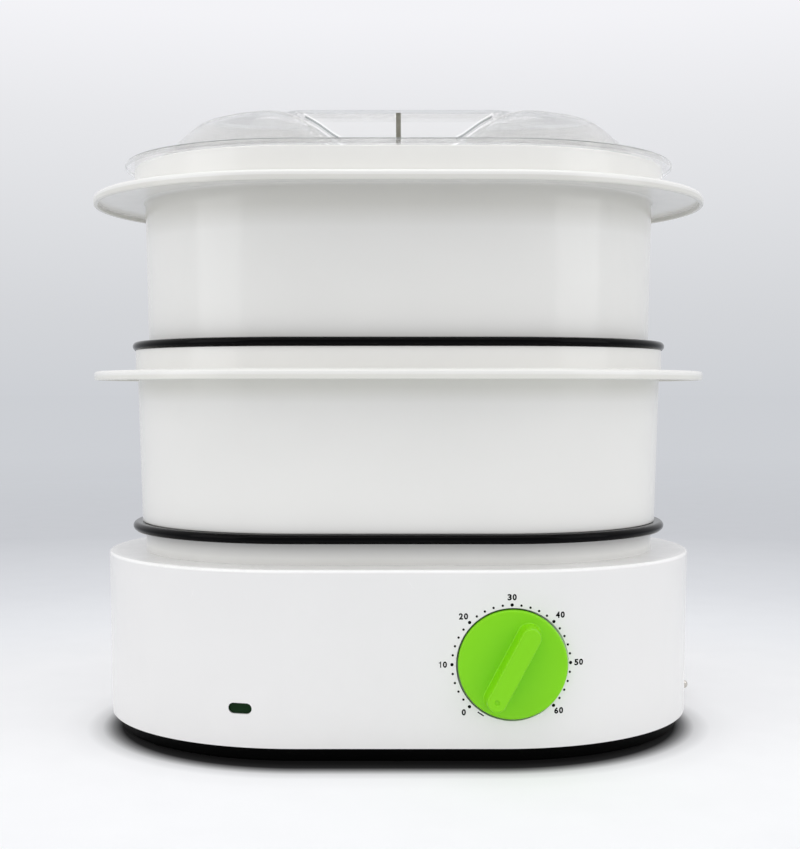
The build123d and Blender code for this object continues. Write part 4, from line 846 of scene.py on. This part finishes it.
class STEAMER_OT_dial(bpy.types.Operator):
    """Print the dial round the knob: dots, numbers from 0 to 60 and the off mark"""

    bl_idname = "steamer.dial"
    bl_label = "Print the Dial"

    def execute(self, context):
        """Lays every mark on the wall at its angle, clockwise from the top."""
        size = context.scene.steamer_dial
        ring = size.ring / MM
        _, across, forward = circle(20)
        disc = np.stack([across, forward], axis=-1) / 2
        shells = []
        for i, angle in enumerate(np.radians(np.arange(-135, 136, 9))):
            wide = (size.small_dot if i % 5 else size.large_dot) / MM
            shells.append(printed_patch(disc * wide, DIAL_X + ring * sin(angle),
                                        KNOB_Z + ring * cos(angle)))
        c, s = cos(OFF_ANGLE), sin(OFF_ANGLE)
        dash = np.array([(-1, -1), (1, -1), (1, 1), (-1, 1)]) * OFF_HALF
        turned = dash @ np.array([(c, -s), (s, c)])
        shells.append(printed_patch(turned, KNOB_X + OFF_RING * s, KNOB_Z + OFF_RING * c))
        height = size.figure / MM
        for i, away in enumerate(FIGURE_RINGS):
            angle, text = radians(45 * i - 135), str(10 * i)
            for k, figure in enumerate(text):
                along = (k - (len(text) - 1) / 2) * height * 0.78
                shells.append(figure_shell(figure, height, height * 0.66,
                                           DIAL_X + away * sin(angle) + along,
                                           KNOB_Z + away * cos(angle)))
        add_piece("dial_print", shells, "black_plastic", "base", "print_black")
        return {"FINISHED"}


# ---------------------------------------------------------------- stage
HORIZON = (0.615, 0.632, 0.665)
FLOOR_RADIUS = 60.0
# The floor's colours by their distance from the middle line, as shares of FLOOR_REACH metres.
FLOOR_REACH = 3.0
FLOOR_TINTS = ((0.0, (0.94, 0.942, 0.955)), (0.07, (0.935, 0.94, 0.96)), (0.11, (0.86, 0.875, 0.905)),
               (0.17, (0.76, 0.775, 0.81)), (0.32, (0.63, 0.645, 0.68)), (0.7, (0.60, 0.617, 0.65)),
               (1.0, HORIZON))
# The painted shadow on the floor under the base's edge, between these two distances in metres.
PAINTED_SHADOW_FROM, PAINTED_SHADOW_TO = 0.092, 0.132
PAINTED_SHADOW_TINTS = ((0.0, grey(0.02)), (0.16, grey(0.03)), (0.28, grey(0.3)), (0.42, grey(0.78)),
               (0.62, grey(0.97)), (1.0, grey(1.0)))
# The room's colours by how far the view looks up: 1 is straight up.
ROOM_TINTS = ((0.0, HORIZON), (0.05, (0.655, 0.668, 0.695)), (0.12, (0.725, 0.735, 0.76)),
              (0.19, (0.80, 0.805, 0.83)), (0.26, (0.90, 0.90, 0.93)), (1.0, (0.96, 0.96, 0.97)))
ROOM_LIGHT = ((0.99, 0.99, 0.995, 1), 0.76)  # colour and strength of the light that falls on things


def seen_rays(tree):
    """1 for the rays that look at the background: from the camera, by reflection or through glass."""
    rays = node(tree, "ShaderNodeLightPath").outputs
    return maths(tree, "MAXIMUM", rays["Is Camera Ray"],
                 maths(tree, "MAXIMUM", rays["Is Glossy Ray"], rays["Is Transmission Ray"])), rays


def floor_material():
    """Pale sweep: white near the middle, a cool grey further out, and a painted shadow under the
    base's edge. Near the middle it is lit and keeps the shadows; far out it glows in the horizon's colour."""
    material, tree, shader, place = new_material("Pale Sweep")
    tree.nodes.remove(shader)
    radius = from_middle(tree, place, STRAIGHT * MM, CENTRE_Y)
    tint = ramp_of(tree, maths(tree, "DIVIDE", radius, FLOOR_REACH), FLOOR_TINTS)
    mottle_and_painted_shadow = spread(tree, noise(tree, place, 30.0, 4.0), 0.3, 0.7, 0.985, 1.0)
    # Painted shadow: a dark band under the base's edge, by the distance from a line a little shorter than
    # the tiers' and set a little forward.
    from_base = from_middle(tree, place, (STRAIGHT - 3.0) * MM, CENTRE_Y - 0.003)
    near = spread(tree, from_base, PAINTED_SHADOW_FROM, PAINTED_SHADOW_TO, 0.0, 1.0)
    under = ramp_of(tree, near, PAINTED_SHADOW_TINTS)
    mottle_and_painted_shadow = maths(tree, "MULTIPLY", mottle_and_painted_shadow, under)
    tint = node(tree, "ShaderNodeVectorMath", {0: tint, "Scale": mottle_and_painted_shadow}, operation="SCALE").outputs[0]
    matte = node(tree, "ShaderNodeBsdfDiffuse", {"Color": tint, "Roughness": 0.0})
    glow = node(tree, "ShaderNodeEmission", {"Color": tint, "Strength": 1.0})
    seen, _ = seen_rays(tree)
    share = spread(tree, radius, 0.3, 2.0, 0.3, 1.0)
    mix = node(tree, "ShaderNodeMixShader", {0: maths(tree, "MULTIPLY", seen, share),
                                             1: matte.outputs[0], 2: glow.outputs[0]})
    tree.links.new(mix.outputs[0], tree.nodes["Material Output"].inputs["Surface"])
    return material


def set_world():
    """Even white room for light. What the camera sees is a grey that lightens upwards; reflections
    see the same room, darker behind the camera."""
    world = bpy.data.worlds.new("Studio")
    bpy.context.scene.world = world
    world.use_nodes = True
    tree = world.node_tree
    tree.nodes.clear()
    way = node(tree, "ShaderNodeSeparateXYZ",
               {0: node(tree, "ShaderNodeTexCoord").outputs["Generated"]}).outputs
    tint = ramp_of(tree, way["Z"], ROOM_TINTS)
    seen, rays = seen_rays(tree)
    behind = spread(tree, way["Y"], -0.95, -0.2, 0.25, 1.0)
    outside = maths(tree, "MULTIPLY", rays["Is Glossy Ray"],
                    maths(tree, "LESS_THAN", rays["Transmission Depth"], 0.5))
    dimmed = maths(tree, "MULTIPLY_ADD", outside, maths(tree, "SUBTRACT", behind, 1.0), 1.0)
    shown = node(tree, "ShaderNodeBackground", {"Color": tint, "Strength": dimmed})
    light = node(tree, "ShaderNodeBackground", {"Color": ROOM_LIGHT[0], "Strength": ROOM_LIGHT[1]})
    mix = node(tree, "ShaderNodeMixShader", {0: seen, 1: light.outputs[0], 2: shown.outputs[0]})
    out = node(tree, "ShaderNodeOutputWorld")
    tree.links.new(mix.outputs[0], out.inputs["Surface"])


def add_lamp(name, place, aim, size, power):
    """A soft rectangular lamp that looks at a point."""
    data = bpy.data.lights.new(name, "AREA")
    data.shape, data.size, data.size_y, data.energy = "RECTANGLE", size[0], size[1], power
    lamp = bpy.data.objects.new(name, data)
    bpy.context.scene.collection.objects.link(lamp)
    lamp.location = place
    away = Vector(place) - Vector(aim)
    lamp.rotation_euler = away.to_track_quat("Z", "Y").to_euler()


class STEAMER_OT_stage(bpy.types.Operator):
    """Set up the camera, the pale floor and the soft studio light"""

    bl_idname = "steamer.stage"
    bl_label = "Set Up the Stage"

    def execute(self, context):
        """Places the camera first, then the floor, the room and the lamps."""
        stage = context.scene.steamer_stage
        data = bpy.data.cameras.new("Camera")
        data.lens, data.sensor_width, data.sensor_fit = 58.64, 36.0, "AUTO"
        data.clip_start, data.clip_end = 0.01, 200.0
        camera = bpy.data.objects.new("Camera", data)
        context.scene.collection.objects.link(camera)
        camera.location = (0.0008, CENTRE_Y - stage.distance, stage.height)
        camera.rotation_euler = (pi / 2 - stage.tilt, 0, 0)
        context.scene.camera = camera
        level, across, forward = circle(96)
        rim = np.stack([FLOOR_RADIUS * across, FLOOR_RADIUS * forward, level], axis=1)
        mesh = bpy.data.meshes.new("Floor")
        mesh.from_pydata(rim.tolist(), [], [list(range(len(rim)))])
        floor = bpy.data.objects.new("Floor", mesh)
        context.scene.collection.objects.link(floor)
        mesh.materials.append(floor_material())
        set_world()
        for side in (-1, 1):
            add_lamp(f"Side Lamp {side:+d}", (side * 0.95, -0.55, 0.55), (0, 0, 0.16), (0.7, 0.9),
                     stage.side_power)
        add_lamp("Top Lamp", (0, -0.35, 1.25), (0, 0, 0.12), (1.2, 0.8), stage.top_power)
        context.scene.view_settings.view_transform = "Standard"
        return {"FINISHED"}


# ---------------------------------------------------------------- supply cord
COIL_X, COIL_Y = 0.073, 0.162 + CENTRE_Y  # the coil's middle
COIL_START, COIL_END = radians(167.5), radians(45.0)  # where the cord enters and leaves the coil
COIL_LAPS = 3  # whole turns, besides the part from start to end
LEAD_IN = ((0.036, 0.1288, 0.019), (0.0355, 0.1440, 0.0182), (0.0348, 0.1560, 0.0140))
LEAD_OUT = ((0.1140, 0.1760, 0.0035), (0.1255, 0.1590, 0.0034), (0.1325, 0.1390, 0.0036),
            (0.13719, 0.11586, 0.0068))


def coil_turns(ring, half, step):
    """Points of the coil's turns, for a cord of this half thickness. Four cords lie in its section,
    two on two, from start to end, and three elsewhere, the upper one between the lower two. A spline
    through points a step apart lies inside them, so they stand out by 1 / cos(step / 2)."""
    part = COIL_START - COIL_END
    whole = part + COIL_LAPS * tau
    turned = np.linspace(0, whole, int(round(whole / step)) + 1)
    angle, lap = COIL_START - turned, (turned // tau).astype(int)
    into = turned % tau / part
    outer, inner, top, between = ring + half, ring - half, half * 3.0, half * 2.73
    radius = np.where(into < 1.0, np.choose(lap, [outer, inner, inner, outer]),
                      np.choose(lap, [ring, inner, outer, outer]))
    level = np.where(into < 1.0, np.choose(lap, [top, top, half, half]),
                     np.choose(lap, [between, half, half, half]))
    late = (lap == 1) & (into >= 1.0) & (into < 1.4)  # where the second turn comes down
    radius, level = np.where(late, inner, radius), np.where(late, top, level)
    wide = radius / cos(step / 2)
    return np.stack([COIL_X + wide * np.cos(angle), COIL_Y + wide * np.sin(angle), level + 0.0001],
                    axis=1)


class STEAMER_OT_cord(bpy.types.Operator):
    """Lay the supply cord: out of the rear, through its coil, to the plug"""

    bl_idname = "steamer.cord"
    bl_label = "Lay the Cord"

    def execute(self, context):
        """Draws one spline through the route and the coil's turns."""
        size = context.scene.steamer_cord
        half = size.diameter / 2
        points = np.concatenate([LEAD_IN, coil_turns(size.ring, half, size.step), LEAD_OUT])
        curve = bpy.data.curves.new("supply_cord", "CURVE")
        curve.dimensions = "3D"
        spline = curve.splines.new("NURBS")
        spline.points.add(len(points) - 1)
        spline.points.foreach_set("co", np.c_[points, np.ones(len(points))].ravel())
        spline.order_u = 3
        spline.use_endpoint_u = True
        spline.resolution_u = 8
        curve.bevel_depth, curve.bevel_resolution = half, 6
        curve.use_fill_caps = True
        cord = bpy.data.objects.new("supply_cord", curve)
        context.scene.collection.objects.link(cord)
        curve.materials.append(finish_of("cord_white"))
        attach(cord, "base")
        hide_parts("mains_cord", "cord_coil", "cord_tail")
        return {"FINISHED"}


# ---------------------------------------------------------------- carried-over nodes
class STEAMER_OT_finishes(bpy.types.Operator):
    """Give each carried-over piece of the frame its own finish"""

    bl_idname = "steamer.finishes"
    bl_label = "Finish the Inner Pieces"

    def execute(self, context):
        """Puts the finish of its slot on each node, and the tray's own, with its painted shade, on the
        tray.
        """
        finishes = {part["node"]: part["material_slot"] for part in frame["record"]["subparts"]}
        # The tray's own finish has painted shade on its wall under the grate's rim.
        finishes["drip_tray"] = "tray_plastic_painted_shade"
        for name, piece in frame["nodes"].items():
            piece.data.materials.clear()
            piece.data.materials.append(finish_of(finishes[name]))
        return {"FINISHED"}


class STEAMER_PT_pieces(bpy.types.Panel):
    """The steamer's pieces, in the order they are built"""

    bl_label = "Food Steamer"
    bl_idname = "STEAMER_PT_pieces"
    bl_space_type = "VIEW_3D"
    bl_region_type = "UI"
    bl_category = "Steamer"

    def draw(self, context):
        """Lists the operators and the values they use."""
        for piece in PIECES:
            self.layout.operator(piece.bl_idname)
        for name, kind in VALUES.items():
            for key in kind.__annotations__:
                self.layout.prop(getattr(context.scene, name), key)


PIECES = (STEAMER_OT_stage, STEAMER_OT_cord, STEAMER_OT_finishes, STEAMER_OT_baskets, STEAMER_OT_lid,
          STEAMER_OT_knob, STEAMER_OT_dial)
VALUES = {"steamer_colours": SteamerColours, "steamer_baskets": SteamerBaskets,
          "steamer_knob": SteamerKnob, "steamer_dial": SteamerDial, "steamer_cord": SteamerCord,
          "steamer_stage": SteamerStage}


def register():
    """Adds the classes and the scene's values."""
    for kind in (*VALUES.values(), *PIECES, STEAMER_PT_pieces):
        bpy.utils.register_class(kind)
    for key, kind in VALUES.items():
        setattr(bpy.types.Scene, key, PointerProperty(type=kind))


def unregister():
    """Takes them away again."""
    for key in VALUES:
        delattr(bpy.types.Scene, key)
    for kind in (STEAMER_PT_pieces, *reversed(PIECES), *VALUES.values()):
        bpy.utils.unregister_class(kind)


def main():
    """Builds every piece."""
    register()
    for piece in PIECES:
        group, name = piece.bl_idname.split(".")
        getattr(getattr(bpy.ops, group), name)()


if __name__ == "__main__":
    main()
